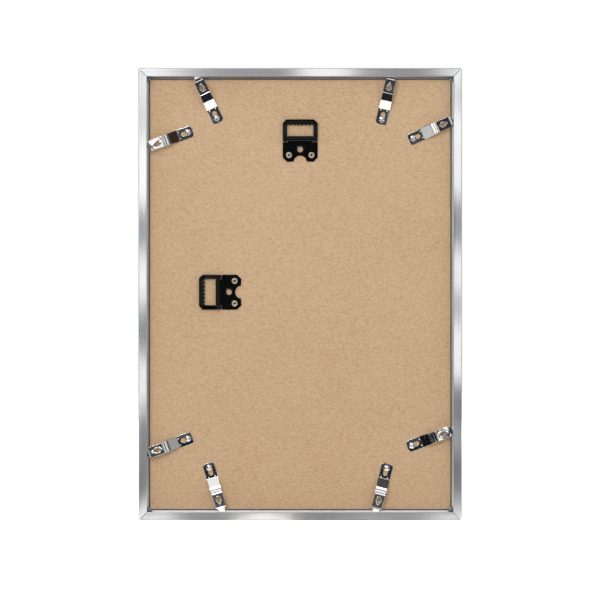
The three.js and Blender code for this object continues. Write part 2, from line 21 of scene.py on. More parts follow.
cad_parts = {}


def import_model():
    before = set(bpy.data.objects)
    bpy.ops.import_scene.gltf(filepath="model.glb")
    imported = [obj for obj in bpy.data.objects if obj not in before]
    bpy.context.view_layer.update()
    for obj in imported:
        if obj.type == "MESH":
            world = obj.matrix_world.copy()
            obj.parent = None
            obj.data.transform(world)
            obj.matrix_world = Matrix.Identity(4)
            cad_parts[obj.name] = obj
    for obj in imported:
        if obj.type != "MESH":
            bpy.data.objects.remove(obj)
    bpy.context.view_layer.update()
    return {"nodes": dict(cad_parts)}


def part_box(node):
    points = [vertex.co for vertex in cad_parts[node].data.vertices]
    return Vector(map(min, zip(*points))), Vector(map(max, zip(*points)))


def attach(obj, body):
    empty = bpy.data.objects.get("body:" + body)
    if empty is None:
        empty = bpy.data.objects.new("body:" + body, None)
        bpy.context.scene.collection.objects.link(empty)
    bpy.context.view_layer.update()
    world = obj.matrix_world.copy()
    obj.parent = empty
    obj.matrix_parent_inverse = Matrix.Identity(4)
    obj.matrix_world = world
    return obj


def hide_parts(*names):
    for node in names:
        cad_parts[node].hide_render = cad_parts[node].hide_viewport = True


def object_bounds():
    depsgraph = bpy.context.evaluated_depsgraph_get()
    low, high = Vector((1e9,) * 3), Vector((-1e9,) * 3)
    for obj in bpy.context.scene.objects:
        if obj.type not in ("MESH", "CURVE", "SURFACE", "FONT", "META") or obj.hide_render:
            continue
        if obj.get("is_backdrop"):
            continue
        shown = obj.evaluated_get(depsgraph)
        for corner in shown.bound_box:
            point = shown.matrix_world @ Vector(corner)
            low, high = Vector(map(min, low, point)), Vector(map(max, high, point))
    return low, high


LOG = logging.getLogger("photo_frame")
MM = 0.001
METRE = 1000.0
QUARTER = math.pi / 2
TINY = 1e-6

Flat = tuple[float, float]
Corner = tuple[float, float, float]
Form = Callable[["Spot"], tuple[Vector, Vector]]
Socket = bpy.types.NodeSocket


def linear(hex_colour: str) -> tuple[float, float, float, float]:
    """Turns an sRGB hex colour to linear light.

    Args:
        hex_colour: A colour such as "#c6a887".

    Returns:
        Red, green, blue and alpha.
    """
    channels = [int(hex_colour[i : i + 2], 16) / 255 for i in (1, 3, 5)]
    red, green, blue = (c / 12.92 if c <= 0.04045 else ((c + 0.055) / 1.055) ** 2.4 for c in channels)
    return red, green, blue, 1.0


def add_node(
    tree: bpy.types.NodeTree, kind: str, inputs: dict[str | int, object] | None = None, **settings: object
) -> bpy.types.Node:
    """Adds a node with its settings and links.

    Args:
        tree: The node tree that takes the node.
        kind: The node's type name.
        inputs: Values or output sockets, by the input's name or number.
        **settings: The node's own properties.

    Returns:
        The new node.
    """
    node = tree.nodes.new(kind)
    for name, value in settings.items():
        setattr(node, name, value)
    for socket, value in (inputs or {}).items():
        if isinstance(value, Socket):
            tree.links.new(value, node.inputs[socket])
        else:
            node.inputs[socket].default_value = value
    return node


def emptied(owner: bpy.types.Material | bpy.types.World) -> bpy.types.NodeTree:
    """Empties a node tree.

    Args:
        owner: The material or the world.

    Returns:
        Its node tree, with nothing in it yet.
    """
    owner.use_nodes = True
    owner.node_tree.nodes.clear()
    return owner.node_tree


def per_mm(size: float) -> float:
    """Gives the texture scale at which one cell of a pattern is this many millimetres wide."""
    return 1 / (size * MM)


class Graph:
    """A material in the making: its node tree, its shader and the coordinates that its patterns run in."""

    def __init__(self, name: str, **sockets: object) -> None:
        """Starts the material with its shader.

        Args:
            name: The material's name.
            **sockets: Values that are the same all over, by the shader's input name with _ for a space.
        """
        self.material = bpy.data.materials.new(name)
        self.tree = emptied(self.material)
        values = {key.replace("_", " "): value for key, value in sockets.items()}
        self.shader = add_node(self.tree, "ShaderNodeBsdfPrincipled", values)
        add_node(self.tree, "ShaderNodeOutputMaterial", {"Surface": self.shader.outputs[0]})
        self.place = add_node(self.tree, "ShaderNodeTexCoord").outputs["Object"]

    def link(self, **sockets: Socket) -> None:
        """Feeds the shader, by its inputs' names with _ for a space."""
        for key, socket in sockets.items():
            self.tree.links.new(socket, self.shader.inputs[key.replace("_", " ")])

    def noise(self, size: float, detail: float) -> Socket:
        """Adds a noise that is alike all round.

        Args:
            size: The width of a cell, in millimetres.
            detail: How many finer layers it has.

        Returns:
            Its value.
        """
        sockets = {"Vector": self.place, "Scale": per_mm(size), "Detail": detail}
        return add_node(self.tree, "ShaderNodeTexNoise", sockets).outputs["Fac"]

    def streaks(self, sizes: Corner, detail: float, turn: float = 0.0, roughness: float = 0.5) -> Socket:
        """Adds a noise that is drawn out.

        Args:
            sizes: The size of a cell along x, y and z, in millimetres.
            detail: How many finer layers it has.
            turn: Its turn about y, in radians.
            roughness: How strong the finer layers are.

        Returns:
            Its value.
        """
        scale = tuple(per_mm(size) for size in sizes)
        lie = {"Vector": self.place, "Rotation": (0.0, turn, 0.0), "Scale": scale}
        drawn = add_node(self.tree, "ShaderNodeMapping", lie).outputs[0]
        sockets = {"Vector": drawn, "Scale": 1.0, "Detail": detail, "Roughness": roughness}
        return add_node(self.tree, "ShaderNodeTexNoise", sockets).outputs["Fac"]

    def maths(self, operation: str, *terms: Socket | float) -> Socket:
        """Works out one step of arithmetic on values or sockets."""
        return add_node(self.tree, "ShaderNodeMath", dict(enumerate(terms)), operation=operation).outputs[0]

    def spread(self, value: Socket, low: float, high: float, start: float = 0.0, end: float = 1.0) -> Socket:
        """Maps a value from one range to another.

        Args:
            value: The value.
            low: What the start of its range becomes.
            high: What the end of its range becomes.
            start: The start of its range.
            end: The end of its range.

        Returns:
            The mapped value.
        """
        sockets = {"Value": value, "From Min": start, "From Max": end, "To Min": low, "To Max": high}
        return add_node(self.tree, "ShaderNodeMapRange", sockets).outputs[0]

    def blend(self, share: Socket, low: object, high: object) -> Socket:
        """Mixes two colours, each a value or a socket, by a share."""
        return add_node(self.tree, "ShaderNodeMix", {0: share, 6: low, 7: high}, data_type="RGBA").outputs[2]

    def bump(self, height: Socket, depth: float, under: Socket | None = None) -> Socket:
        """Raises the skin by a pattern.

        Args:
            height: The pattern.
            depth: How far a pattern of 0 to 1 rises, in millimetres.
            under: The normal that it rises from, where that isn't the skin's own.

        Returns:
            The new normal.
        """
        sockets = {"Height": height, "Distance": depth * MM, "Strength": 1.0}
        if under is not None:
            sockets["Normal"] = under
        return add_node(self.tree, "ShaderNodeBump", sockets).outputs[0]


class Run(Enum):
    """The way that a length of profile was drawn and brushed."""

    ACROSS = "X"
    UPRIGHT = "Z"


@dataclass(frozen=True)
class Finish:
    """What every finish has: a name, and a material that it becomes."""

    name: str

    def build(self) -> bpy.types.Material:
        """Makes the material of this finish."""
        raise NotImplementedError


@dataclass(frozen=True)
class Wave:
    """One long wave in how far a rail leans outward: its length, where it crests, and its slope there."""

    length: float
    crest: float
    slope: float


@dataclass(frozen=True)
class SilveredProfile(Finish):
    """Drawn aluminium profile, silvered and brushed along its length.

    The brushing gives fine lengthwise lines and a satin gloss, with a wider haze over it from the coarser
    scratches. Drawing leaves broad faint streaks, and straightening leaves each rail with a slow twist, so
    the gloss runs along it in light and dark stretches.
    """

    run: Run = Run.ACROSS
    outward: float = 1.0
    middle: float = 0.0
    lean: float = 0.0
    waves: tuple[Wave, ...] = ()
    dull: str = "#e2e3e5"
    bright: str = "#f8f8f8"
    roughness_low: float = 0.14
    roughness_high: float = 0.2
    haze_index: float = 3.1
    haze_roughness: float = 0.276
    line_width: float = 0.55
    line_length: float = 90.0
    line_depth: float = 0.006
    draw_width: float = 1.7
    draw_length: float = 140.0
    draw_depth: float = 0.03

    def drawn(self, length: float, width: float) -> Corner:
        """Gives the size of a streak along x, y and z: long along the rail and narrow over it."""
        return (length, width, width) if self.run is Run.ACROSS else (width, width, length)

    def twist(self, graph: Graph) -> Socket:
        """Leans the flange outward on the whole, and more or less along the rail by its waves.

        Args:
            graph: The material.

        Returns:
            The normal of the twisted rail.
        """
        split = add_node(graph.tree, "ShaderNodeSeparateXYZ", {0: graph.place}).outputs
        station, aside = (split["X"], split["Z"]) if self.run is Run.ACROSS else (split["Z"], split["X"])
        lean: Socket | float = self.lean
        for wave in self.waves:
            pace = 2 * math.pi / wave.length
            turns = graph.maths("MULTIPLY_ADD", station, pace / MM, -pace * wave.crest)
            lean = graph.maths("MULTIPLY_ADD", graph.maths("COSINE", turns), wave.slope, lean)
        fall = graph.maths("MULTIPLY_ADD", aside, -self.outward, self.outward * self.middle * MM)
        return graph.bump(graph.maths("MULTIPLY", fall, lean), METRE)

    def build(self) -> bpy.types.Material:
        """Makes the brushed and twisted silver.

        Returns:
            The material.
        """
        graph = Graph(
            self.name,
            Metallic=1.0,
            Coat_Weight=1.0,
            Coat_IOR=self.haze_index,
            Coat_Roughness=self.haze_roughness,
        )
        lines = graph.streaks(self.drawn(self.line_length, self.line_width), 3.0, roughness=0.6)
        broad = graph.streaks(self.drawn(self.draw_length, self.draw_width), 1.0)
        brushed = graph.bump(lines, self.line_depth, graph.bump(broad, self.draw_depth, self.twist(graph)))
        graph.link(
            Base_Color=graph.blend(lines, linear(self.dull), linear(self.bright)),
            Roughness=graph.spread(lines, self.roughness_high, self.roughness_low),
            Normal=brushed,
            Coat_Normal=brushed,
        )
        return graph.material


@dataclass(frozen=True)
class PlatedMetal(Finish):
    """Pressed metal, barrel plated: a mirror gloss with faint clouds, rubs and a slight pebble."""

    dull: str = "#e2e0dc"
    bright: str = "#f4f3f0"
    roughness_low: float = 0.05
    roughness_high: float = 0.12
    cloud_size: float = 2.6
    pebble_size: float = 0.9
    pebble_depth: float = 0.004
    rub_width: float = 0.12
    rub_length: float = 3.0
    rub_turn: float = 0.6
    wear_low: float = 0.1
    wear_high: float = 0.45

    def build(self) -> bpy.types.Material:
        """Makes the plated metal.

        Returns:
            The material.
        """
        graph = Graph(self.name, Metallic=1.0)
        clouds = graph.noise(self.cloud_size, 4.0)
        rubs = graph.streaks((self.rub_length, self.rub_width, self.rub_width), 2.0, self.rub_turn)
        worn = graph.maths("MULTIPLY", clouds, rubs)
        wear = (self.wear_low, self.wear_high)
        graph.link(
            Base_Color=graph.blend(clouds, linear(self.dull), linear(self.bright)),
            Roughness=graph.spread(worn, self.roughness_low, self.roughness_high, *wear),
            Normal=graph.bump(graph.noise(self.pebble_size, 1.0), self.pebble_depth),
        )
        return graph.material


@dataclass(frozen=True)
class StovedEnamel(Finish):
    """Black stoving enamel on pressed steel: deep black with a wet gloss and a fine orange peel."""

    deep: str = "#020203"
    worn: str = "#07080a"
    roughness_low: float = 0.1
    roughness_high: float = 0.2
    peel_size: float = 1.1
    peel_depth: float = 0.006
    cloud_size: float = 3.5
    specular: float = 0.3
    index: float = 1.52

    def build(self) -> bpy.types.Material:
        """Makes the black enamel.

        Returns:
            The material.
        """
        graph = Graph(self.name, Specular_IOR_Level=self.specular, IOR=self.index)
        clouds = graph.noise(self.cloud_size, 3.0)
        graph.link(
            Base_Color=graph.blend(clouds, linear(self.deep), linear(self.worn)),
            Roughness=graph.spread(clouds, self.roughness_low, self.roughness_high),
            Normal=graph.bump(graph.noise(self.peel_size, 1.0), self.peel_depth),
        )
        return graph.material


@dataclass(frozen=True)
class Fibreboard(Finish):
    """Pressed wood fibre, sanded: a matt tan felt of lighter and darker fibres, with a few dark chips."""

    dark: str = "#b08d68"
    middle: str = "#c3a482"
    light: str = "#cfb290"
    chip: str = "#8a6a48"
    fibre_width: float = 0.8
    fibre_length: float = 1.8
    fibre_turns: tuple[float, ...] = (0.35, 1.4, 2.45)
    felt_size: float = 1.1
    felt_low: float = 1.6
    felt_high: float = 2.7
    felt_depth: float = 0.05
    cloud_size: float = 60.0
    cloud_share: float = 0.3
    chip_spacing: float = 4.2
    chip_share: float = 0.12
    chip_strength: float = 0.55
    roughness: float = 0.82
    index: float = 1.45

    def build(self) -> bpy.types.Material:
        """Makes the sanded fibreboard.

        Returns:
            The material.
        """
        graph = Graph(self.name, Roughness=self.roughness, IOR=self.index)
        mixed = graph.noise(self.felt_size, 5.0)
        for turn in self.fibre_turns:
            fibres = graph.streaks((self.fibre_length, self.fibre_width, self.fibre_width), 3.0, turn)
            mixed = graph.maths("ADD", fibres, mixed)
        clouds = graph.noise(self.cloud_size, 2.0)
        mixed = graph.maths("MULTIPLY_ADD", clouds, self.cloud_share, mixed)
        share = graph.spread(mixed, 0.0, 1.0, self.felt_low, self.felt_high)
        ramp = add_node(graph.tree, "ShaderNodeValToRGB", {0: share})
        ramp.color_ramp.elements[0].color = linear(self.dark)
        ramp.color_ramp.elements[1].color = linear(self.light)
        ramp.color_ramp.elements.new(0.5).color = linear(self.middle)
        spacing = {"Vector": graph.place, "Scale": per_mm(self.chip_spacing), "Randomness": 1.0}
        cells = add_node(graph.tree, "ShaderNodeTexVoronoi", spacing).outputs["Distance"]
        chips = graph.spread(cells, self.chip_strength, 0.0, 0.0, self.chip_share)
        graph.link(
            Base_Color=graph.blend(chips, ramp.outputs[0], linear(self.chip)),
            Normal=graph.bump(share, self.felt_depth),
        )
        return graph.material


@dataclass(frozen=True)
class FloatGlass(Finish):
    """Clear float glass, 2 mm: almost no colour, a sharp gloss and a trace of wiping."""

    tint: str = "#fcfefd"
    index: float = 1.52
    wipe_size: float = 18.0
    wipe_roughness: float = 0.03

    def build(self) -> bpy.types.Material:
        """Makes the clear glass.

        Returns:
            The material.
        """
        graph = Graph(self.name, Base_Color=linear(self.tint), Transmission_Weight=1.0, IOR=self.index)
        graph.link(Roughness=graph.spread(graph.noise(self.wipe_size, 2.0), 0.0, self.wipe_roughness))
        return graph.material


@dataclass(frozen=True)
class UncoatedPaper(Finish):
    """Uncoated paper, white in front and kraft behind: matt, with a faint cloudy formation of its fibres."""

    light: str = "#f1ebdf"
    shade: str = "#e8e1d3"
    kraft: str = "#94745a"
    formation_size: float = 2.4
    tooth_size: float = 0.6
    tooth_depth: float = 0.008
    roughness: float = 0.9
    index: float = 1.45
    behind: float = -0.5

    def build(self) -> bpy.types.Material:
        """Makes the paper.

        Returns:
            The material.
        """
        graph = Graph(self.name, Roughness=self.roughness, IOR=self.index)
        white = graph.blend(graph.noise(self.formation_size, 4.0), linear(self.shade), linear(self.light))
        facing = add_node(graph.tree, "ShaderNodeTexCoord").outputs["Normal"]
        forward = add_node(graph.tree, "ShaderNodeSeparateXYZ", {0: facing}).outputs["Y"]
        graph.link(
            Base_Color=graph.blend(graph.maths("LESS_THAN", forward, self.behind), white, linear(self.kraft)),
            Normal=graph.bump(graph.noise(self.tooth_size, 2.0), self.tooth_depth),
        )
        return graph.material


@dataclass(frozen=True)
class Spot:
    """A point of a flat blank: where it lies, and which way its skin faces."""

    x: float
    y: float
    height: float
    facing: Vector


@dataclass(frozen=True)
class Rim:
    """A point of an outline, with the direction that faces out of the metal."""

    x: float
    y: float
    out_x: float
    out_y: float

    def inset(self, depth: float) -> Flat:
        """Gives the point this far inside the outline."""
        return self.x - self.out_x * depth, self.y - self.out_y * depth


def arc_rims(centre: Flat, radius: float, start: float, end: float, count: int) -> list[Rim]:
    """Points of an arc that face away from its centre.

    Args:
        centre: The centre.
        radius: The radius.
        start: The first angle, in radians.
        end: The last angle.
        count: The number of steps.

    Returns:
        The points, both ends among them.
    """
    rims = []
    for k in range(count + 1):
        angle = start + (end - start) * k / count
        out_x, out_y = math.cos(angle), math.sin(angle)
        rims.append(Rim(centre[0] + radius * out_x, centre[1] + radius * out_y, out_x, out_y))
    return rims


def circle_rims(centre: Flat, radius: float, count: int = 40) -> list[Rim]:
    """Points of a whole circle that face away from its centre."""
    return arc_rims(centre, radius, 0.0, 2 * math.pi, count)[:-1]


def as_hole(loop: Sequence[Rim]) -> list[Rim]:
    """Turns an outline into the edge of a hole, which faces into the hole."""
    return [Rim(r.x, r.y, -r.out_x, -r.out_y) for r in reversed(loop)]


def rounded_outline(corners: Sequence[Corner], steps: int = 6) -> list[Rim]:
    """A closed outline with rounded corners, counterclockwise.

    Args:
        corners: Corners as x, y and radius. A corner of no radius gets one point.
        steps: Steps in a quarter turn.

    Returns:
        The outline's points.
    """
    rims = []
    for i, (x, y, radius) in enumerate(corners):
        corner = Vector((x, y))
        into = (corner - Vector(corners[i - 1][:2])).normalized()
        away = (Vector(corners[(i + 1) % len(corners)][:2]) - corner).normalized()
        turn = math.atan2(into.cross(away), into.dot(away))
        facing = Vector((into.y, -into.x))
        if radius == 0:
            mean = (facing + Vector((away.y, -away.x))).normalized()
            rims.append(Rim(x, y, mean.x, mean.y))
            continue
        start = corner - into * radius * math.tan(abs(turn) / 2)
        centre = start - facing * math.copysign(radius, turn)
        pieces = max(1, round(abs(turn) / QUARTER * steps))
        for k in range(pieces + 1):
            spin = Matrix.Rotation(turn * k / pieces, 2)
            at, out = centre + spin @ (start - centre), spin @ facing
            rims.append(Rim(at.x, at.y, out.x, out.y))
    return rims


def refined(loop: Sequence[Rim], longest: float) -> list[Rim]:
    """Cuts the long stretches of a closed outline.

    Args:
        loop: The outline.
        longest: The longest stretch that stays.

    Returns:
        The outline with more points.
    """
    rims = []
    for here, there in zip(loop, [*loop[1:], loop[0]]):
        parts = max(1, math.ceil(math.hypot(there.x - here.x, there.y - here.y) / longest))
        for k in range(parts):
            t = k / parts
            out = Vector((here.out_x, here.out_y)).lerp(Vector((there.out_x, there.out_y)), t).normalized()
            rims.append(Rim(here.x + (there.x - here.x) * t, here.y + (there.y - here.y) * t, out.x, out.y))
    return rims


def around(first: Flat, second: Flat) -> list[Flat]:
    """Gives the corners of a rectangle, one after the other."""
    return [(first[0], second[0]), (first[1], second[0]), (first[1], second[1]), (first[0], second[1])]


def inside(points: np.ndarray, loop: np.ndarray) -> np.ndarray:
    """Tells which points lie in a closed outline.

    Args:
        points: Points, one a row.
        loop: The outline's points, one a row.

    Returns:
        True or false for each point.
    """
    x, y = points[:, 0:1], points[:, 1:2]
    ax, ay = loop[:, 0], loop[:, 1]
    bx, by = np.roll(ax, -1), np.roll(ay, -1)
    level = np.where(by == ay, 1.0, by - ay)
    crossed = ((ay > y) != (by > y)) & (x < (bx - ax) * (y - ay) / level + ax)
    return crossed.sum(axis=1) % 2 == 1


def between(points: np.ndarray, loops: Sequence[np.ndarray]) -> np.ndarray:
    """Tells which points lie in the first outline and in none of the others.

    Args:
        points: Points, one a row.
        loops: The outlines, each with one point a row.

    Returns:
        True or false for each point.
    """
    kept = inside(points, loops[0])
    for hole in loops[1:]:
        kept &= ~inside(points, hole)
    return kept


def filled(loops: Sequence[Sequence[Flat]], extra: Sequence[Flat]) -> list[list[int]]:
    """Fills a flat blank with triangles.

    Args:
        loops: The outline, then the holes.
        extra: Points inside.

    Returns:
        Triangles, as numbers into all loops' points followed by the extra ones.
    """
    points, edges = [], []
    for loop in loops:
        first = len(points)
        points.extend(Vector(p) for p in loop)
        edges.extend((first + i, first + (i + 1) % len(loop)) for i in range(len(loop)))
    points.extend(Vector(p) for p in extra)
    found, _, faces, sources, _, _ = delaunay_2d_cdt(points, edges, [], 0, TINY)
    flat = np.array([tuple(p) for p in found])
    triangles = np.array(faces)
    kept = between(flat[triangles].mean(axis=1), [np.array(loop) for loop in loops])
    return [[sources[i][0] for i in triangle] for triangle in triangles[kept]]


class Skin:
    """Points, faces and corner normals of one piece, in millimetres, gathered until they become a mesh."""

    def __init__(self) -> None:
        """Starts with nothing."""
        self.points: list[Vector] = []
        self.faces: list[tuple[int, ...]] = []
        self.normals: list[Vector] = []
        self.marks: list[int] = []

    def point(self, at: Vector) -> int:
        """Adds a point and gives its number."""
        self.points.append(at)
        return len(self.points) - 1

    def face(self, corners: Sequence[int], normals: Sequence[Vector]) -> None:
        """Adds a face, turned the way that its normals face.

        Args:
            corners: The numbers of its points.
            normals: A normal for each corner.
        """
        a, b, c = (self.points[i] for i in (corners[0], corners[1], corners[-1]))
        if (b - a).cross(c - a).dot(sum(normals, Vector())) < 0:
            corners, normals = list(reversed(corners)), list(reversed(normals))
        self.faces.append(tuple(corners))
        self.marks.append(0)
        self.normals.extend(normals)

    def strip(
        self,
        first: Sequence[int],
        second: Sequence[int],
        first_out: Sequence[Vector],
        second_out: Sequence[Vector],
    ) -> None:
        """Joins two closed rings of as many points.

        Args:
            first: One ring.
            second: The other.
            first_out: The normals of the first.
            second_out: The normals of the second.
        """
        for i in range(len(first)):
            j = (i + 1) % len(first)
            self.face(
                (first[i], first[j], second[j], second[i]),
                (first_out[i], first_out[j], second_out[j], second_out[i]),
            )

    def blank(self, blank: Blank, form: Form) -> None:
        """Adds a stamped and formed blank.

        Args:
            blank: The flat blank.
            form: Gives the place and the normal of a spot of the blank once it is formed.
        """
        lids: list[list[Flat]] = []
        floors: list[list[Flat]] = []
        lid_ids: list[int] = []
        floor_ids: list[int] = []
        lid_out: list[Vector] = []
        floor_out: list[Vector] = []
        edges = [(blank.outline, blank.roll_width), *((hole, blank.hole_roll_width) for hole in blank.holes)]
        for loop, width in edges:
            rings, outs = [], []
            profile = blank.edge_profile(width)
            for depth, height, out, up in profile:
                ways = [Vector((r.out_x * out, r.out_y * out, up)) for r in loop]
                formed = [form(Spot(*r.inset(depth), height, way)) for r, way in zip(loop, ways)]
                rings.append([self.point(place) for place, _ in formed])
                outs.append([normal for _, normal in formed])
            for k in range(len(rings) - 1):
                self.strip(rings[k], rings[k + 1], outs[k], outs[k + 1])
            lids.append([r.inset(profile[0][0]) for r in loop])
            floors.append([r.inset(profile[-1][0]) for r in loop])
            lid_ids += rings[0]
            floor_ids += rings[-1]
            lid_out += outs[0]
            floor_out += outs[-1]
        extra = blank.clear_of(lids)
        half = blank.thickness / 2
        for loops, ids, out, height, up in (
            (lids, lid_ids, lid_out, half, 1.0),
            (floors, floor_ids, floor_out, -half, -1.0),
        ):
            for x, y in extra:
                place, normal = form(Spot(x, y, height, Vector((0.0, 0.0, up))))
                ids.append(self.point(place))
                out.append(normal)
            for triangle in filled(loops, extra):
                self.face([ids[i] for i in triangle], [out[i] for i in triangle])

    def turned(self, runs: Sequence[Sequence[Flat]], place: Matrix, count: int = 40) -> None:
        """Adds a turned piece about its z axis.

        Args:
            runs: Smooth runs of radius and height that follow each other, with the metal on their right.
            place: Where the piece goes.
            count: Points round the axis.
        """
        spin = place.to_3x3()
        angles = [2 * math.pi * k / count for k in range(count)]

        def ring(radius: float, height: float) -> list[int]:
            """Adds a ring of points, which is one point on the axis.

            Args:
                radius: Its radius.
                height: Its height.

            Returns:
                The numbers of its points.
            """
            if radius < TINY:
                return [self.point(place @ Vector((0.0, 0.0, height)))] * count
            around_axis = [(radius * math.cos(a), radius * math.sin(a)) for a in angles]
            return [self.point(place @ Vector((x, y, height))) for x, y in around_axis]

        first = last = ring(*runs[0][0])
        closed = Vector(runs[0][0]) == Vector(runs[-1][-1])
        for number, run in enumerate(runs):
            ways = [Vector(b) - Vector(a) for a, b in zip(run, run[1:])]
            bends = [a.normalized() + b.normalized() for a, b in zip(ways, ways[1:])]
            means = [ways[0], *bends, ways[-1]]
            outs = []
            for way in means:
                way = way.normalized()
                ways_out = [(-way.y * math.cos(a), -way.y * math.sin(a), way.x) for a in angles]
                outs.append([spin @ Vector(out) for out in ways_out])
            for k in range(1, len(run)):
                at_end = closed and number == len(runs) - 1 and k == len(run) - 1
                after = first if at_end else ring(*run[k])
                for i in range(count):
                    j = (i + 1) % count
                    ids = [last[i], last[j], after[j], after[i]]
                    out = [outs[k - 1][i], outs[k - 1][j], outs[k][j], outs[k][i]]
                    if ids[0] == ids[1]:
                        ids, out = ids[1:], out[1:]
                    elif ids[2] == ids[3]:
                        ids, out = ids[:3], out[:3]
                    self.face(ids, out)
                last = after

    def placed(self, place: Matrix) -> Skin:
        """Copies the skin to another place.

        Args:
            place: Where the copy goes.

        Returns:
            The copy.
        """
        spin = place.to_3x3()
        moved = Skin()
        moved.points = [place @ p for p in self.points]
        moved.normals = [spin @ n for n in self.normals]
        moved.faces, moved.marks = list(self.faces), list(self.marks)
        return moved

    def piece(self, name: str, body: str, node: str, slot: str, *finishes: bpy.types.Material) -> None:
        """Makes the mesh, which rides on a body and stands for a node.

        Args:
            name: The piece's name.
            body: The body that it moves with.
            node: The node that it stands for.
            slot: The record's material slot; not used.
            *finishes: Its finish, then those of the faces that are marked.
        """
        mesh = bpy.data.meshes.new(name)
        mesh.from_pydata([p * MM for p in self.points], [], self.faces)
        mesh.polygons.foreach_set("use_smooth", [True] * len(mesh.polygons))
        mesh.normals_split_custom_set(self.normals)
        for finish in finishes:
            mesh.materials.append(finish)
        mesh.polygons.foreach_set("material_index", self.marks)
        piece = bpy.data.objects.new(name, mesh)
        bpy.context.scene.collection.objects.link(piece)
        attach(piece, body)
        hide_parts(node)
        LOG.info("%s: %d faces, on %s", name, len(mesh.polygons), body)


@dataclass
class Blank:
    """A flat blank as it leaves the stamping tool: rolled over on its upper edges and sharp below."""

    outline: list[Rim]
    thickness: float
    roll_width: float
    roll_depth: float
    holes: list[list[Rim]] = field(default_factory=list)
    hole_roll_width: float = 0.15
    burr: float = 0.06
    extra: list[Flat] = field(default_factory=list)
    roll_steps: int = 5
    burr_steps: int = 2

    def edge_profile(self, width: float) -> list[tuple[float, float, float, float]]:
        """Gives the edge from the upper face to the lower one.

        Args:
            width: How wide the upper edge rolls over.

        Returns:
            Steps of inset, height, and the outward and upward parts of the normal.
        """
        half = self.thickness / 2
        depth = self.roll_depth * min(1.0, width / self.roll_width)
        steps = []
        for k in range(self.roll_steps + 1):
            turn = QUARTER * k / self.roll_steps
            out = Vector((math.sin(turn) / width, math.cos(turn) / depth)).normalized()
            steps.append((width * (1 - math.sin(turn)), half - depth * (1 - math.cos(turn)), out.x, out.y))
        for k in range(self.burr_steps + 1):
            turn = QUARTER * k / self.burr_steps
            c, s = math.cos(turn), math.sin(turn)
            steps.append((self.burr * (1 - c), self.burr * (1 - s) - half, c, -s))
        return steps

    def clear_of(self, loops: Sequence[Sequence[Flat]], room: float = 0.12) -> list[Flat]:
        """Gives the extra points that lie in the blank, a little clear of its edges.

        Args:
            loops: The edges of the upper face.
            room: The least distance.

        Returns:
            The points that stay.
        """
        if not self.extra:
            return []
        points = np.array(self.extra)
        edges = [np.array(loop) for loop in loops]
        kept = between(points, edges)
        for edge in edges:
            gaps = np.linalg.norm(points[:, None, :] - edge[None, :, :], axis=2)
            kept &= gaps.min(axis=1) > room
        return [tuple(p) for p in points[kept]]


def on_board(x: float, y: float, z: float, turn: float) -> Matrix:
    """A place on the back board.

    Args:
        x: To the right, seen from behind.
        y: The depth of the board's back.
        z: Upwards.
        turn: The way that the place's x axis points, in degrees from the right towards the top.

    Returns:
        The place, with x and y along the board and z away from it, towards the wall.
    """
    c, s = math.cos(math.radians(turn)), math.sin(math.radians(turn))
    return Matrix(((c, -s, 0.0, x), (0.0, 0.0, -1.0, y), (s, c, 0.0, z), (0.0, 0.0, 0.0, 1.0)))


def middle_of(node: str) -> Vector:
    """Gives the middle of a node's box, in millimetres."""
    low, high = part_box(node)
    return (low + high) / 2 / MM


class Side(Enum):
    """The rails, by the way that each one faces, in degrees from the right towards the top."""

    RIGHT = 0
    TOP = 90
    LEFT = 180
    BOTTOM = 270


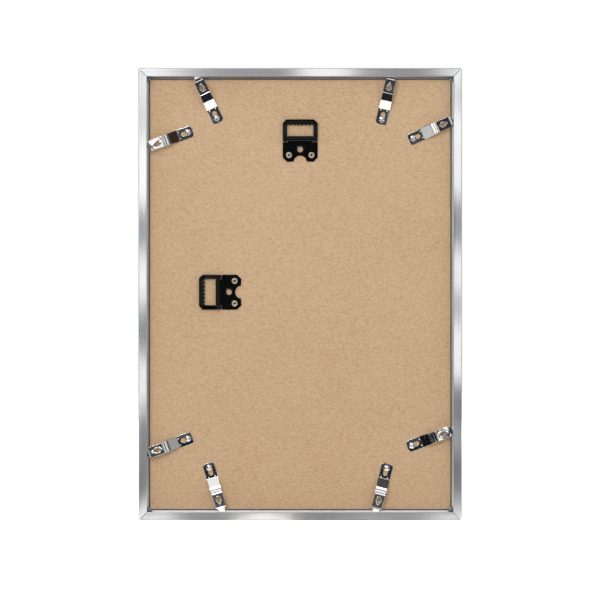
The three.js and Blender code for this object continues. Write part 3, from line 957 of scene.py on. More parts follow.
@dataclass
class Rails:
    """Four mitred lengths of one drawn profile."""

    depth: float = 15.0
    wall: float = 1.2
    flange_width: float = 5.95
    flange_thickness: float = 1.1
    ledge_width: float = 7.1
    ledge_top: float = 4.1
    ledge_thickness: float = 1.0
    rebate_wall: float = 1.0
    front_thickness: float = 1.2
    lip_overhang: float = 4.0
    outer_radius: float = 0.45
    edge_radius: float = 0.4
    inner_radius: float = 0.25
    mitre_gap: float = 0.3
    mitre_chamfer: float = 0.1
    ledge_spread: float = 0.08
    slack: float = 0.001

    # How far each rail leans outward on the whole
    LEANS = {Side.TOP: 0.046, Side.BOTTOM: -0.046, Side.LEFT: 0.044, Side.RIGHT: 0.065}

    # The waves in that lean: length, crest measured from the nail seat, and slope
    WAVES = {
        Side.TOP: ((57, 34, -0.004), (114, 73, -0.031), (68, 58, -0.011), (46, 17, 0.005)),
        Side.BOTTOM: (
            (107, 85, 0.023), (453, 62, 0.013), (141, 136, 0.003), (68, 42, 0.021), (320, 227, 0.024)
        ),
        Side.LEFT: (
            (91, 69, 0.013), (211, 206, 0.039), (466, 411, 0.036), (254, 131, 0.024), (69, 31, 0.024)
        ),
        Side.RIGHT: ((60, 18, 0.019), (412, 8, 0.022), (72, 55, 0.008), (179, 114, -0.031)),
    }

    # How the ledge in each groove leans outward, its dull and bright tones, and its lowest roughness.
    # The tones are painted light and shade per side: painted shade on the top and left, painted light at the
    # bottom.
    LEDGES = {
        Side.TOP: (0.0, "#85878a", "#a3a5a8", 0.14),
        Side.BOTTOM: (-0.2, "#c0c2c5", "#d8dadd", 0.3),
        Side.LEFT: (-0.2, "#85878a", "#a3a5a8", 0.3),
        Side.RIGHT: (-0.2, "#9a9c9f", "#b4b6b9", 0.3),
    }

    def section(self) -> list[list[Rim]]:
        """Draws the profile.

        Returns:
            Its outline and its hollow, inward and forward from the back outer edge.
        """
        front = self.depth - self.front_thickness
        lip = self.ledge_width + self.lip_overhang
        outline = rounded_outline(
            [
                (0.0, 0.0, self.outer_radius),
                (self.flange_width, 0.0, self.edge_radius),
                (self.flange_width, self.flange_thickness, self.edge_radius),
                (self.wall, self.flange_thickness, self.inner_radius),
                (self.wall, self.ledge_top, self.inner_radius),
                (self.ledge_width, self.ledge_top, self.edge_radius),
                (self.ledge_width, front, self.inner_radius),
                (lip, front, self.edge_radius),
                (lip, self.depth, self.edge_radius),
                (0.0, self.depth, self.outer_radius),
            ]
        )
        low, deep = self.ledge_top + self.ledge_thickness, self.ledge_width - self.rebate_wall
        inner = around((self.wall, deep), (low, front))
        return [outline, as_hole(rounded_outline([(x, y, self.inner_radius) for x, y in inner]))]

    def in_groove(self, rim: Rim) -> bool:
        """Tells where the profile takes the groove's finish: unpolished, and toned per side with painted
        light and shade.

        Args:
            rim: A point of the section.

        Returns:
            Whether it lies in the groove or the rebate.
        """
        front = self.depth - self.front_thickness
        past_flange = self.flange_thickness - self.slack < rim.y < front + self.slack
        return past_flange and rim.x > self.wall - self.slack

    def build(self) -> None:
        """Makes the four rails."""
        low, high = (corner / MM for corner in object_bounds())
        middle = Vector(((low.x + high.x) / 2, 0.0, (low.z + high.z) / 2))
        for side in Side:
            upright = side in (Side.LEFT, Side.RIGHT)
            length = high.z - low.z if upright else high.x - low.x
            offset = high.x - middle.x if upright else high.z - middle.z
            name = side.name.lower()
            waves = tuple(Wave(*wave) for wave in self.WAVES[side])
            # The ledge's dull and bright tones are painted light and shade, different for each side
            ledge_lean, ledge_painted_dull, ledge_painted_bright, ledge_roughness = self.LEDGES[side]
            run = Run.UPRIGHT if upright else Run.ACROSS
            outward = 1.0 if side in (Side.RIGHT, Side.TOP) else -1.0
            flange_middle = (middle.x if upright else middle.z) + outward * (offset - self.flange_width / 2)
            polished = SilveredProfile(
                f"silvered_profile_{name}", run, outward, flange_middle, self.LEANS[side], waves
            )
            # The groove's finish is rougher, and its tones are painted light and shade set per side
            groove = SilveredProfile(
                f"mill_finish_and_painted_shade_groove_{name}",
                run,
                outward,
                flange_middle,
                ledge_lean,
                dull=ledge_painted_dull,
                bright=ledge_painted_bright,
                roughness_low=ledge_roughness,
                roughness_high=ledge_roughness + self.ledge_spread,
            )
            finishes = polished.build(), groove.build()
            skin = self.rail(side, length, offset, middle)
            skin.piece(f"profile_{name}", "frame", f"rail_{name}", "silver_metal", *finishes)

    def rail(self, side: Side, length: float, offset: float, middle: Vector) -> Skin:
        """Makes one rail.

        Args:
            side: Which rail.
            length: Its outer length.
            offset: From the frame's middle to its outer face.
            middle: The frame's middle, in its back plane.

        Returns:
            The rail's skin.
        """
        angle = math.radians(side.value)
        out = Vector((math.cos(angle), 0.0, math.sin(angle)))
        along = Vector((-math.sin(angle), 0.0, math.cos(angle)))
        forward = Vector((0.0, 1.0, 0.0))
        skin = Skin()
        loops = self.section()
        lids: dict[int, list[list[int]]] = {-1: [], 1: []}
        for loop in loops:
            faces = [forward * r.out_y - out * r.out_x for r in loop]
            ends = {}
            for end in (-1, 1):
                cut = (along * end - out).normalized()
                bevel = [(f + cut).normalized() for f in faces]
                rings = []
                for inset, back in ((0.0, self.mitre_chamfer), (self.mitre_chamfer, 0.0)):
                    ring = []
                    for rim in loop:
                        u, v = rim.inset(inset)
                        reach = length / 2 - u - self.mitre_gap / math.sqrt(2) - back
                        across = out * (offset - u) + forward * v
                        ring.append(skin.point(middle + across + along * end * reach))
                    rings.append(ring)
                skin.strip(rings[0], rings[1], bevel, bevel)
                ends[end] = rings[0]
                lids[end].append(rings[1])
            start = len(skin.faces)
            skin.strip(ends[-1], ends[1], faces, faces)
            for i, rim in enumerate(loop):
                skin.marks[start + i] = int(self.in_groove(rim) and self.in_groove(loop[(i + 1) % len(loop)]))
        flat = [[rim.inset(self.mitre_chamfer) for rim in loop] for loop in loops]
        triangles = filled(flat, [])
        for end, rings in lids.items():
            ids = [i for ring in rings for i in ring]
            cut = (along * end - out).normalized()
            for triangle in triangles:
                skin.face([ids[i] for i in triangle], [cut] * 3)
        return skin


@dataclass
class SpringClip:
    """A plated spring clip: slotted foot, ramp, ribbed band, pierced flat, shoulder and tongue."""

    steel: float = 0.5
    seat_gap: float = 0.15
    tail: float = 3.5
    tail_bow: float = 0.5
    tail_bow_radius: float = 12.0
    foot_end: float = 7.5
    ramp_end: float = 14.1
    band_end: float = 18.3
    flat_end: float = 28.3
    shoulder_end: float = 29.1
    tip: float = 33.4
    tongue_height: float = 6.9
    shoulder_rise: float = 0.5
    flat_rise: float = 0.4
    band_rise: float = 0.9
    foot_bend: float = 0.8
    ramp_bend: float = 8.0
    band_bend: float = 1.2
    shoulder_bend: float = 0.6
    foot_width: float = 8.4
    flat_width: float = 7.5
    tongue_width: float = 5.0
    tip_width: float = 3.8
    corner_radius: float = 0.9
    tail_corner_radius: float = 1.9
    foot_crown: float = 0.03
    foot_droop: float = 0.09
    foot_fade: float = 2.0
    tip_droop: float = 0.35
    slot_travel: float = 3.9
    slot_radius: float = 1.55
    teardrop_at: float = 22.6
    teardrop_radius: float = 1.7
    teardrop_point: float = 3.5
    teardrop_tip_radius: float = 0.3
    collar_width: float = 0.32
    collar_end_width: float = 0.6
    flat_roll: float = 0.0
    collar_height: float = 0.36
    crease_width: float = 0.42
    crease_height: float = 0.1
    pip_at: float = 6.5
    pip_spacing: float = 4.5
    pip_radius: float = 0.55
    pip_height: float = 0.28
    pip_rings: int = 5
    rib_count: int = 2
    rib_height: float = 0.07
    rivet_radius: float = 2.2
    rivet_height: float = 1.3
    rivet_flatness: float = 2.4
    dome_steps: int = 32
    rivet_dimple: float = 0.85
    rivet_dimple_depth: float = 0.4
    shank_radius: float = 1.3
    rivet_tail_radius: float = 2.1
    rivet_tail: float = 0.4
    rivet_tail_depth: float = 1.85
    edge_step: float = 0.35
    hole_step: float = 0.4
    slot_step: float = 0.5
    row_step: float = 0.6
    bend_row_step: float = 0.2
    band_row_step: float = 0.13
    column_step: float = 0.65
    bend_room: float = 0.3
    bend_share: float = 0.32
    columns: int = 6
    room: float = 0.1

    # Which way each clip points, in degrees from the right towards the top
    TURNS = {
        "top_left": 115.5,
        "top_right": 77.5,
        "right_upper": 24.8,
        "right_lower": 21.4,
        "bottom_right": 255.4,
        "bottom_left": 286.9,
        "left_lower": 200.1,
        "left_upper": 200.1,
    }

    # Where a worn tool pressed the collar wider, rolled the flat or bent the tip less
    PRESSINGS = {
        "right_lower": {"collar_end_width": 2.2, "flat_roll": -0.15},
        "left_lower": {"collar_end_width": 2.2},
        "left_upper": {"collar_end_width": 2.0, "flat_roll": 0.1},
        "bottom_right": {"tip_droop": 0.2},
        "bottom_left": {"tip_droop": 0.2},
    }

    def bends(self) -> list[Corner]:
        """Draws the clip's side view.

        Returns:
            Its corners: along the clip, off the board, and the bend's radius.
        """
        foot = self.seat_gap + self.steel / 2
        flat_end = self.tongue_height - self.shoulder_rise
        band_end = flat_end - self.flat_rise
        return [
            (-self.tail, foot, 0.0),
            (self.foot_end, foot, self.foot_bend),
            (self.ramp_end, band_end - self.band_rise, self.ramp_bend),
            (self.band_end, band_end, self.band_bend),
            (self.flat_end, flat_end, self.shoulder_bend),
            (self.shoulder_end, self.tongue_height, self.shoulder_bend),
            (self.tip, self.tongue_height, 0.0),
        ]

    def side_view(self, x: float) -> Flat:
        """Gives the height and the slope of the clip's middle plane.

        Args:
            x: The distance along the clip.

        Returns:
            The height above the board and the angle, in radians.
        """
        path = [Vector(bend[:2]) for bend in self.bends()]
        radii = [bend[2] for bend in self.bends()]
        for before, corner, after, radius in zip(path, path[1:], path[2:], radii[1:]):
            into, away = (corner - before).normalized(), (after - corner).normalized()
            turn = math.atan2(into.cross(away), into.dot(away))
            run = radius * math.tan(abs(turn) / 2)
            start, end = corner - into * run, corner + away * run
            if start.x <= x <= end.x:
                side = math.copysign(1.0, turn)
                centre = start + Vector((-into.y, into.x)) * radius * side
                drop = math.sqrt(radius**2 - (x - centre.x) ** 2)
                return centre.y - side * drop, math.atan2(side * (x - centre.x), drop)
        for before, after in zip(path, path[1:]):
            if x <= after.x:
                break
        slope = (after.y - before.y) / (after.x - before.x)
        return before.y + slope * (x - before.x), math.atan(slope)

    def teardrop(self, grow: float) -> list[Rim]:
        """Draws the pierced teardrop.

        Args:
            grow: How far its outline is grown.

        Returns:
            The outline.
        """
        lean = math.acos(self.teardrop_radius / self.teardrop_point)
        tip = self.teardrop_at + (self.teardrop_radius - self.teardrop_tip_radius) / math.cos(lean)
        around = arc_rims((self.teardrop_at, 0.0), self.teardrop_radius + grow, lean, 2 * math.pi - lean, 26)
        return around + arc_rims((tip, 0.0), self.teardrop_tip_radius + grow, -lean, lean, 8)

    def from_teardrop(self, x: float, y: float) -> tuple[float, float, float]:
        """Gives the distance from the teardrop's edge, and the way that leads away from it.

        Args:
            x: Along the clip.
            y: Across the clip.

        Returns:
            The distance, and its change along and across.
        """
        lean = math.acos(self.teardrop_radius / self.teardrop_point)
        reach = (self.teardrop_radius - self.teardrop_tip_radius) / math.cos(lean)
        side = math.copysign(1.0, y)
        at = Vector((x - self.teardrop_at, abs(y)))
        out = Vector((math.cos(lean), math.sin(lean)))
        run = (at - out * self.teardrop_radius).dot(Vector((out.y, -out.x)))
        flank = reach * math.sin(lean)
        if 0 <= run <= flank:
            return at.dot(out) - self.teardrop_radius, out.x, out.y * side
        if run > flank:
            at -= Vector((reach, 0.0))
            radius = self.teardrop_tip_radius
        else:
            radius = self.teardrop_radius
        far = max(at.length, TINY)
        return far - radius, at.x / far, at.y / far * side

    def relief(self, x: float, y: float) -> float:
        """Gives what pressing adds to the strip: crowned foot, pips, ribs, crease, collar and drooping tip.

        Args:
            x: Along the clip.
            y: Across the clip.

        Returns:
            The height over the flat strip.
        """
        on_foot = min(1.0, max(0.0, (self.foot_end - x) / self.foot_fade))
        to_side, to_tail = 2 * y / self.foot_width, min(0.0, x) / self.tail
        height = on_foot * (self.foot_crown - self.foot_droop * min(1.0, to_side**4 + to_tail**4))
        for side in (-1, 1):
            away = math.hypot(x - self.pip_at, y - side * self.pip_spacing / 2) / self.pip_radius
            height += self.pip_height * max(0.0, 1 - away * away) ** 2
        if self.ramp_end < x < self.band_end:
            turn = 2 * math.pi * (x - self.ramp_end) / (self.band_end - self.ramp_end) * self.rib_count
            height += self.rib_height * (1 - math.cos(turn)) / 2
        off_crease = (x - self.band_end - self.crease_width / 2) / self.crease_width
        height += self.crease_height * max(0.0, 1 - off_crease * off_crease) ** 2
        gap, gap_along, _ = self.from_teardrop(x, y)
        width = self.collar_width + (self.collar_end_width - self.collar_width) * gap_along**2
        height += self.collar_height * min(1.0, max(0.0, 1 - gap / width)) ** 2
        along_flat = min(1.0, max(0.0, (x - self.band_end) / (self.flat_end - self.band_end)))
        height += self.flat_roll * y * math.sin(math.pi * along_flat) ** 0.5
        past = max(0.0, (x - self.shoulder_end) / (self.tip - self.shoulder_end))
        return height - self.tip_droop * past * past

    def formed(self, spot: Spot) -> tuple[Vector, Vector]:
        """Bends a spot of the flat blank into the clip's shape.

        Args:
            spot: The spot.

        Returns:
            Its place and its normal.
        """
        level, slope = self.side_view(spot.x)
        ahead = Vector((math.cos(slope), 0.0, math.sin(slope)))
        up = Vector((-math.sin(slope), 0.0, math.cos(slope)))
        across = Vector((0.0, 1.0, 0.0))
        height, near = self.relief(spot.x, spot.y), 0.01
        rise_ahead = (self.relief(spot.x + near, spot.y) - self.relief(spot.x - near, spot.y)) / (2 * near)
        rise_across = (self.relief(spot.x, spot.y + near) - self.relief(spot.x, spot.y - near)) / (2 * near)
        raised = (up - ahead * rise_ahead - across * rise_across).normalized()
        place = Vector((spot.x, spot.y, level)) + up * (spot.height + height)
        normal = ahead * spot.facing.x + across * spot.facing.y + raised * spot.facing.z
        return place, normal.normalized()

    def blank(self) -> Blank:
        """Cuts the clip's blank, before it is bent.

        Returns:
            The blank.
        """
        edge = [
            (self.tail_bow - self.tail, self.foot_width / 2, self.tail_corner_radius),
            (self.foot_end, self.foot_width / 2, 0.0),
            (self.band_end, self.flat_width / 2, 0.0),
            (self.flat_end, self.flat_width / 2, self.corner_radius),
            (self.shoulder_end, self.tongue_width / 2, self.corner_radius),
            (self.tip, self.tip_width / 2, self.corner_radius),
        ]
        below = [(x, -y, radius) for x, y, radius in edge]
        outline = rounded_outline([(-self.tail, 0.0, self.tail_bow_radius), *below, *reversed(edge)])
        slot = arc_rims((self.slot_travel, 0.0), self.slot_radius, -QUARTER, QUARTER, 16)
        slot += arc_rims((0.0, 0.0), self.slot_radius, QUARTER, 3 * QUARTER, 16)
        pierced = refined(slot, self.slot_step), refined(self.teardrop(0.0), self.hole_step)
        return Blank(
            outline=refined(outline, self.edge_step),
            thickness=self.steel,
            roll_width=0.18,
            roll_depth=0.09,
            holes=[as_hole(hole) for hole in pierced],
            hole_roll_width=0.08,
            extra=self.inner_points(),
        )

    def inner_points(self) -> list[Flat]:
        """Spreads points inside the blank, close together where it bends or is embossed.

        Returns:
            The points.
        """
        rows = []
        x = -self.tail
        while x < self.tip:
            near_bend = any(abs(x - at) < self.bend_room + self.bend_share * r for at, _, r in self.bends())
            on_band = self.ramp_end - self.bend_row_step < x < self.band_end + self.bend_row_step
            rows.append(x)
            x += self.band_row_step if on_band else self.bend_row_step if near_bend else self.row_step
        pips = [(self.pip_at, side * self.pip_spacing / 2) for side in (-1, 1)]
        points = []
        for x in rows:
            for k in range(-self.columns, self.columns + 1):
                y = k * self.column_step
                pip_gap = min(math.dist((x, y), pip) for pip in pips)
                collar_gap = self.from_teardrop(x, y)[0]
                if pip_gap > self.pip_radius + self.room and collar_gap > self.collar_end_width + self.room:
                    points.append((x, y))
        for pip in pips:
            points.append(pip)
            for k in range(1, self.pip_rings + 1):
                circle = circle_rims(pip, self.pip_radius * k / self.pip_rings, 6 + 3 * k)
                points += [(r.x, r.y) for r in circle]
        rings, first_gap, collar_share = 6, 0.16, 0.95
        for k in range(1, rings + 1):
            ring = self.teardrop(first_gap + self.collar_end_width * collar_share * k / rings)
            points += [(r.x, r.y) for r in refined(ring, self.hole_step)]
        return points

    def rivet_runs(self) -> list[list[Flat]]:
        """Draws the rivet's profile.

        Returns:
            Its runs: dimpled dome, underside, shank and tail.
        """
        seat = self.seat_gap + self.steel + self.seat_gap
        dome = []
        for k in range(self.dome_steps + 1):
            turn = QUARTER * k / self.dome_steps
            radius = self.rivet_radius * math.sin(turn) ** (2 / self.rivet_flatness)
            height = seat + self.rivet_height * max(0.0, math.cos(turn)) ** (2 / self.rivet_flatness)
            if radius < self.rivet_dimple:
                height -= self.rivet_dimple_depth * (1 + math.cos(math.pi * radius / self.rivet_dimple)) / 2
            dome.append((radius, height))
        tail = -self.rivet_tail_depth
        return [
            dome,
            [dome[-1], (self.shank_radius, seat)],
            [(self.shank_radius, seat), (self.shank_radius, tail)],
            [(self.shank_radius, tail), (self.rivet_tail_radius, tail)],
            [(self.rivet_tail_radius, tail), (self.rivet_tail_radius, tail - self.rivet_tail)],
            [(self.rivet_tail_radius, tail - self.rivet_tail), (0.0, tail - self.rivet_tail)],
        ]

    def pressed(self) -> Skin:
        """Presses one clip, about its rivet.

        Returns:
            The clip's skin.
        """
        skin = Skin()
        skin.blank(self.blank(), self.formed)
        return skin

    def build(self) -> None:
        """Makes the eight clips and their rivets."""
        leaf_finish = PlatedMetal("nickel_plated_spring_steel").build()
        rivet_finish = PlatedMetal(
            "nickel_plated_rivet_steel", dull="#d2d0cb", roughness_low=0.06, roughness_high=0.14
        ).build()
        board_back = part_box("back_board")[0].y / MM
        for name, turn in self.TURNS.items():
            seat = middle_of(f"clip_rivet_{name}")
            place = on_board(seat.x, board_back, seat.z, turn)
            leaf = replace(self, **self.PRESSINGS.get(name, {})).pressed().placed(place)
            clip_node, rivet_node = f"spring_clip_{name}", f"clip_rivet_{name}"
            leaf.piece(f"clip_leaf_{name}", f"clip_{name}", clip_node, "nickel_plate", leaf_finish)
            rivet = Skin()
            rivet.turned(self.rivet_runs(), place)
            rivet.piece(f"clip_stud_{name}", f"rivet_{name}", rivet_node, "nickel_plate", rivet_finish)


@dataclass
class SawtoothHanger:
    """A black hinged hanger: a plate rolled into a barrel, a toothed bail and two eyelets."""

    steel: float = 0.86
    seat_gap: float = 0.15
    width: float = 24.5
    plate_reach: float = 16.0
    plate_chamfer: float = 3.0
    shoulder: float = 2.3
    tab_width: float = 17.7
    barrel_radius: float = 2.0
    barrel_turn: float = 302.0
    notch_radius: float = 4.6
    notch_depth: float = 4.25
    centre_hole_radius: float = 1.9
    centre_hole_reach: float = 7.4
    collar_width: float = 0.85
    collar_height: float = 0.3
    eyelet_spacing: float = 15.7
    eyelet_reach: float = 11.3
    eyelet_hole: float = 1.65
    bail_reach: float = 13.6
    bail_arm: float = 3.1
    bail_bar: float = 3.3
    bail_corner: float = 2.6
    bail_steel: float = 0.9
    bail_crown: float = 0.25
    teeth: int = 7
    tooth_depth: float = 1.3
    tooth_swage: float = 0.42
    hinge_bar_radius: float = 0.9
    bar_round: float = 0.1
    knuckle_round: float = 0.9
    eyelet_bore: float = 0.9
    eyelet_barrel: float = 1.4
    eyelet_head: float = 2.1
    eyelet_height: float = 0.6
    eyelet_tail_radius: float = 2.1
    eyelet_tail: float = 0.4
    eyelet_tail_depth: float = 1.85
    eyelet_land: float = 0.12
    head_steps: int = 20
    plate_room: float = 0.9
    plate_corner_radius: float = 0.5
    tab_corner_radius: float = 0.3
    bail_foot_radius: float = 0.2
    bail_corner_radius: float = 0.6
    gullet_radius: float = 0.22
    tooth_radius: float = 0.15
    swage_margin: float = 0.6
    swage_reach: float = 3.0
    crown_fade: float = 1.5

    # Which way the plate's x axis points on the board, in degrees
    TURNS = {"portrait": 0.0, "landscape": 90.0}

    @property
    def axis_height(self) -> float:
        """The hinge axis above the board."""
        return self.seat_gap + self.barrel_radius

    @property
    def roll_radius(self) -> float:
        """The radius of the barrel's middle plane."""
        return self.barrel_radius - self.steel / 2

    def plate_blank(self) -> Blank:
        """Cuts the plate's blank, with the tab that is rolled into the barrel.

        Returns:
            The blank.
        """
        half, foot, cut = self.width / 2, -self.plate_reach, self.plate_chamfer
        tab, tab_end = self.tab_width / 2, self.roll_radius * math.radians(self.barrel_turn)
        right = [
            (half - cut, foot, self.plate_corner_radius),
            (half, foot + cut, self.plate_corner_radius),
            (half, -self.shoulder, self.plate_corner_radius),
            (tab, -self.shoulder, self.tab_corner_radius),
            (tab, tab_end, self.tab_corner_radius),
        ]
        left = [(-x, y, radius) for x, y, radius in reversed(right)]
        outline = rounded_outline([left[-1], *right, *left[:-1]])
        centre = (0.0, foot - self.notch_radius + self.notch_depth)
        dip = math.asin((foot - centre[1]) / self.notch_radius) + 0.05
        notch = as_hole(arc_rims(centre, self.notch_radius, dip, math.pi - dip, 30))
        split = next(i for i, r in enumerate(outline) if r.x > 0)
        outline = outline[:split] + notch + outline[split:]
        seats = [(side * self.eyelet_spacing / 2, -self.eyelet_reach) for side in (-1, 1)]
        holes = [circle_rims(seat, self.eyelet_hole) for seat in seats]
        holes.append(circle_rims((0.0, -self.centre_hole_reach), self.centre_hole_radius))
        extra = []
        rings, first_gap, collar_share = 6, 0.16, 0.85
        for k in range(1, rings + 1):
            radius = self.centre_hole_radius + first_gap + self.collar_width * collar_share * k / rings
            extra += [(r.x, r.y) for r in circle_rims((0.0, -self.centre_hole_reach), radius, 44)]
        row_step, column_step, columns = 0.26, 0.8, 11
        rows = int(tab_end / row_step)
        for i in range(-2, rows):
            extra += [(k * column_step, i * tab_end / rows) for k in range(-columns, columns + 1)]
        return Blank(
            outline=refined(outline, 0.3),
            thickness=self.steel,
            roll_width=0.3,
            roll_depth=0.22,
            holes=[as_hole(h) for h in holes],
            hole_roll_width=0.2,
            extra=extra,
        )

    def rolled(self, spot: Spot) -> tuple[Vector, Vector]:
        """Rolls the tab of the plate's blank about the hinge axis and raises the collar.

        Args:
            spot: A spot of the blank.

        Returns:
            Its place and its normal.
        """
        turn = max(0.0, spot.y) / self.roll_radius
        run = min(0.0, spot.y)
        ahead = Vector((0.0, math.cos(turn), math.sin(turn)))
        up = Vector((0.0, -math.sin(turn), math.cos(turn)))
        across = Vector((1.0, 0.0, 0.0))
        base = Vector((spot.x, run, self.axis_height)) - up * self.roll_radius
        away = Vector((spot.x, spot.y + self.centre_hole_reach))
        share = min(1.0, 1 - (away.length - self.centre_hole_radius) / self.collar_width)
        raised, height = up, 0.0
        if share > 0 and spot.y < 0:
            height = self.collar_height * share
            fall = -self.collar_height / self.collar_width
            away.normalize()
            raised = (up - across * fall * away.x - ahead * fall * away.y).normalized()
        normal = across * spot.facing.x + ahead * spot.facing.y + raised * spot.facing.z
        return base + up * (spot.height + height), normal.normalized()

    def bail_blank(self) -> Blank:
        """Cuts the toothed bail's blank.

        Returns:
            The blank.
        """
        half, window = self.width / 2, self.width / 2 - self.bail_arm
        gullet = self.bail_reach - self.bail_bar
        pitch = 2 * window / self.teeth
        right = [
            (window, 0.0, self.bail_foot_radius),
            (half, 0.0, self.bail_foot_radius),
            (half, self.bail_reach - self.bail_corner, self.bail_corner_radius),
            (half - self.bail_corner, self.bail_reach, self.bail_corner_radius),
        ]
        corners = [*right, *((-x, y, radius) for x, y, radius in reversed(right))]
        for i in range(self.teeth):
            corners.append((i * pitch - window, gullet - self.tooth_depth, self.gullet_radius))
            corners.append(((i + 0.5) * pitch - window, gullet, self.tooth_radius))
        corners.append((window, gullet - self.tooth_depth, self.gullet_radius))
        extra = []
        bar_start, bar_step, columns = gullet - self.tooth_depth + 0.2, 0.28, 30
        for i in range(18):
            extra += [(k * pitch / 8, bar_start + i * bar_step) for k in range(-columns, columns + 1)]
        arm_start, arm_step = 0.4, 0.7
        arms = [side * (window + self.bail_arm * (k + 1) / 8) for k in range(7) for side in (-1, 1)]
        for i in range(14):
            extra += [(x, arm_start + i * arm_step) for x in arms]
        return Blank(
            outline=refined(rounded_outline(corners, 4), 0.45),
            thickness=self.bail_steel,
            roll_width=0.2,
            roll_depth=0.18,
            burr=0.15,
            extra=extra,
        )

    def swaged(self, spot: Spot) -> tuple[Vector, Vector]:
        """Sets the bail at the height of its hinge and presses its teeth into ridges.

        Args:
            spot: A spot of the blank.

        Returns:
            Its place and its normal.
        """
        window = self.width / 2 - self.bail_arm
        pitch = 2 * window / self.teeth
        fade_start = self.bail_reach - self.bail_bar + self.swage_margin
        fade_end = self.bail_reach - self.swage_margin
        height = slope_x = slope_y = 0.0
        if abs(spot.x) < window and spot.y > fade_start - self.swage_reach:
            share = min(1.0, max(0.0, (fade_end - spot.y) / (fade_end - fade_start)))
            ease = share * share * (3 - 2 * share)
            ease_slope = -6 * share * (1 - share) / (fade_end - fade_start)
            turn = 2 * math.pi * (spot.x + window) / pitch
            wave = self.tooth_swage * (math.cos(turn) - 1) / 2
            height = wave * ease
            slope_x = -self.tooth_swage * math.pi / pitch * math.sin(turn) * ease
            slope_y = wave * ease_slope
        off_arm = (abs(spot.x) - window - self.bail_arm / 2) / (self.bail_arm / 2)
        if spot.facing.z > 0 and off_arm > -1 and 0 < spot.y < fade_start:
            fade = min(1.0, (fade_start - spot.y) / self.crown_fade)
            height -= self.bail_crown * fade * off_arm**2
            slope_x -= math.copysign(4 * self.bail_crown * fade * off_arm / self.bail_arm, spot.x)
        raised = Vector((-slope_x, -slope_y, 1.0)).normalized()
        normal = Vector((spot.facing.x, spot.facing.y, 0.0)) + raised * spot.facing.z
        return Vector((spot.x, spot.y, self.axis_height + spot.height + height)), normal.normalized()

    def add_bars(self, skin: Skin) -> None:
        """Adds the hinge bar and the knuckles at its ends.

        Args:
            skin: The bail's skin.
        """
        lie = Matrix.Translation((0.0, 0.0, self.axis_height)) @ Matrix.Rotation(QUARTER, 4, "Y")
        half, window = self.width / 2, self.width / 2 - self.bail_arm
        middle = window + self.bail_arm / 2
        for radius, start, end, round_over in (
            (self.hinge_bar_radius, -middle, middle, self.bar_round),
            (self.barrel_radius, window, half, self.knuckle_round),
            (self.barrel_radius, -half, -window, self.knuckle_round),
        ):
            reach = radius - round_over
            upper = [(r.x, r.y) for r in arc_rims((reach, end - round_over), round_over, QUARTER, 0.0, 6)]
            lower = [(r.x, r.y) for r in arc_rims((reach, start + round_over), round_over, 0.0, -QUARTER, 6)]
            ends = [(0.0, end), upper[0]], [lower[-1], (0.0, start)]
            skin.turned([ends[0], upper, [upper[-1], lower[0]], lower, ends[1]], lie, 36)

    def eyelet_runs(self) -> list[list[Flat]]:
        """Draws the hollow eyelet's profile.

        Returns:
            Its runs: bore, rolled head, barrel and flared tail.
        """
        seat = self.seat_gap + self.plate_room + self.seat_gap
        tail = -self.eyelet_tail_depth
        middle = (self.eyelet_bore + self.eyelet_head) / 2
        half_wide = (self.eyelet_head - self.eyelet_bore) / 2
        head = []
        for k in range(self.head_steps + 1):
            turn = math.pi - math.pi * k / self.head_steps
            rise = (self.eyelet_height - self.eyelet_land) * math.sin(turn)
            head.append((middle + half_wide * math.cos(turn), seat + self.eyelet_land + rise))
        return [
            [(self.eyelet_bore, tail - self.eyelet_tail), head[0]],
            head,
            [head[-1], (self.eyelet_head, seat)],
            [(self.eyelet_head, seat), (self.eyelet_barrel, seat)],
            [(self.eyelet_barrel, seat), (self.eyelet_barrel, tail)],
            [(self.eyelet_barrel, tail), (self.eyelet_tail_radius, tail)],
            [(self.eyelet_tail_radius, tail), (self.eyelet_tail_radius, tail - self.eyelet_tail)],
            [(self.eyelet_tail_radius, tail - self.eyelet_tail), (self.eyelet_bore, tail - self.eyelet_tail)],
        ]

    def build(self) -> None:
        """Makes both hangers."""
        enamel = StovedEnamel("black_stoving_enamel").build()
        eyelet_finish = PlatedMetal(
            "tarnished_nickel_eyelet",
            dull="#dcc6a8",
            bright="#f3e3cc",
            roughness_low=0.45,
            roughness_high=0.58,
            cloud_size=1.4,
        ).build()
        plate, bail = Skin(), Skin()
        plate.blank(self.plate_blank(), self.rolled)
        bail.blank(self.bail_blank(), self.swaged)
        self.add_bars(bail)
        board_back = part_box("back_board")[0].y / MM
        for name, turn in self.TURNS.items():
            ends = [middle_of(f"hanger_eyelet_{name}_{end}") for end in "ab"]
            between_eyelets = (ends[0] + ends[1]) / 2
            flat = on_board(between_eyelets.x, board_back, between_eyelets.z, turn)
            place = flat @ Matrix.Translation((0.0, self.eyelet_reach, 0.0))
            leaf, loop = plate.placed(place), bail.placed(place)
            leaf.piece(f"hanger_leaf_{name}", "frame", f"hanger_plate_{name}", "black_enamel", enamel)
            loop.piece(f"hanger_loop_{name}", f"bail_{name}", f"hanger_bail_{name}", "black_enamel", enamel)
            for end, middle in zip("ab", ends):
                node = f"hanger_eyelet_{name}_{end}"
                eyelet = Skin()
                eyelet.turned(self.eyelet_runs(), on_board(middle.x, board_back, middle.z, turn))
                eyelet.piece(f"eyelet_{name}_{end}", "frame", node, "eyelet_metal", eyelet_finish)


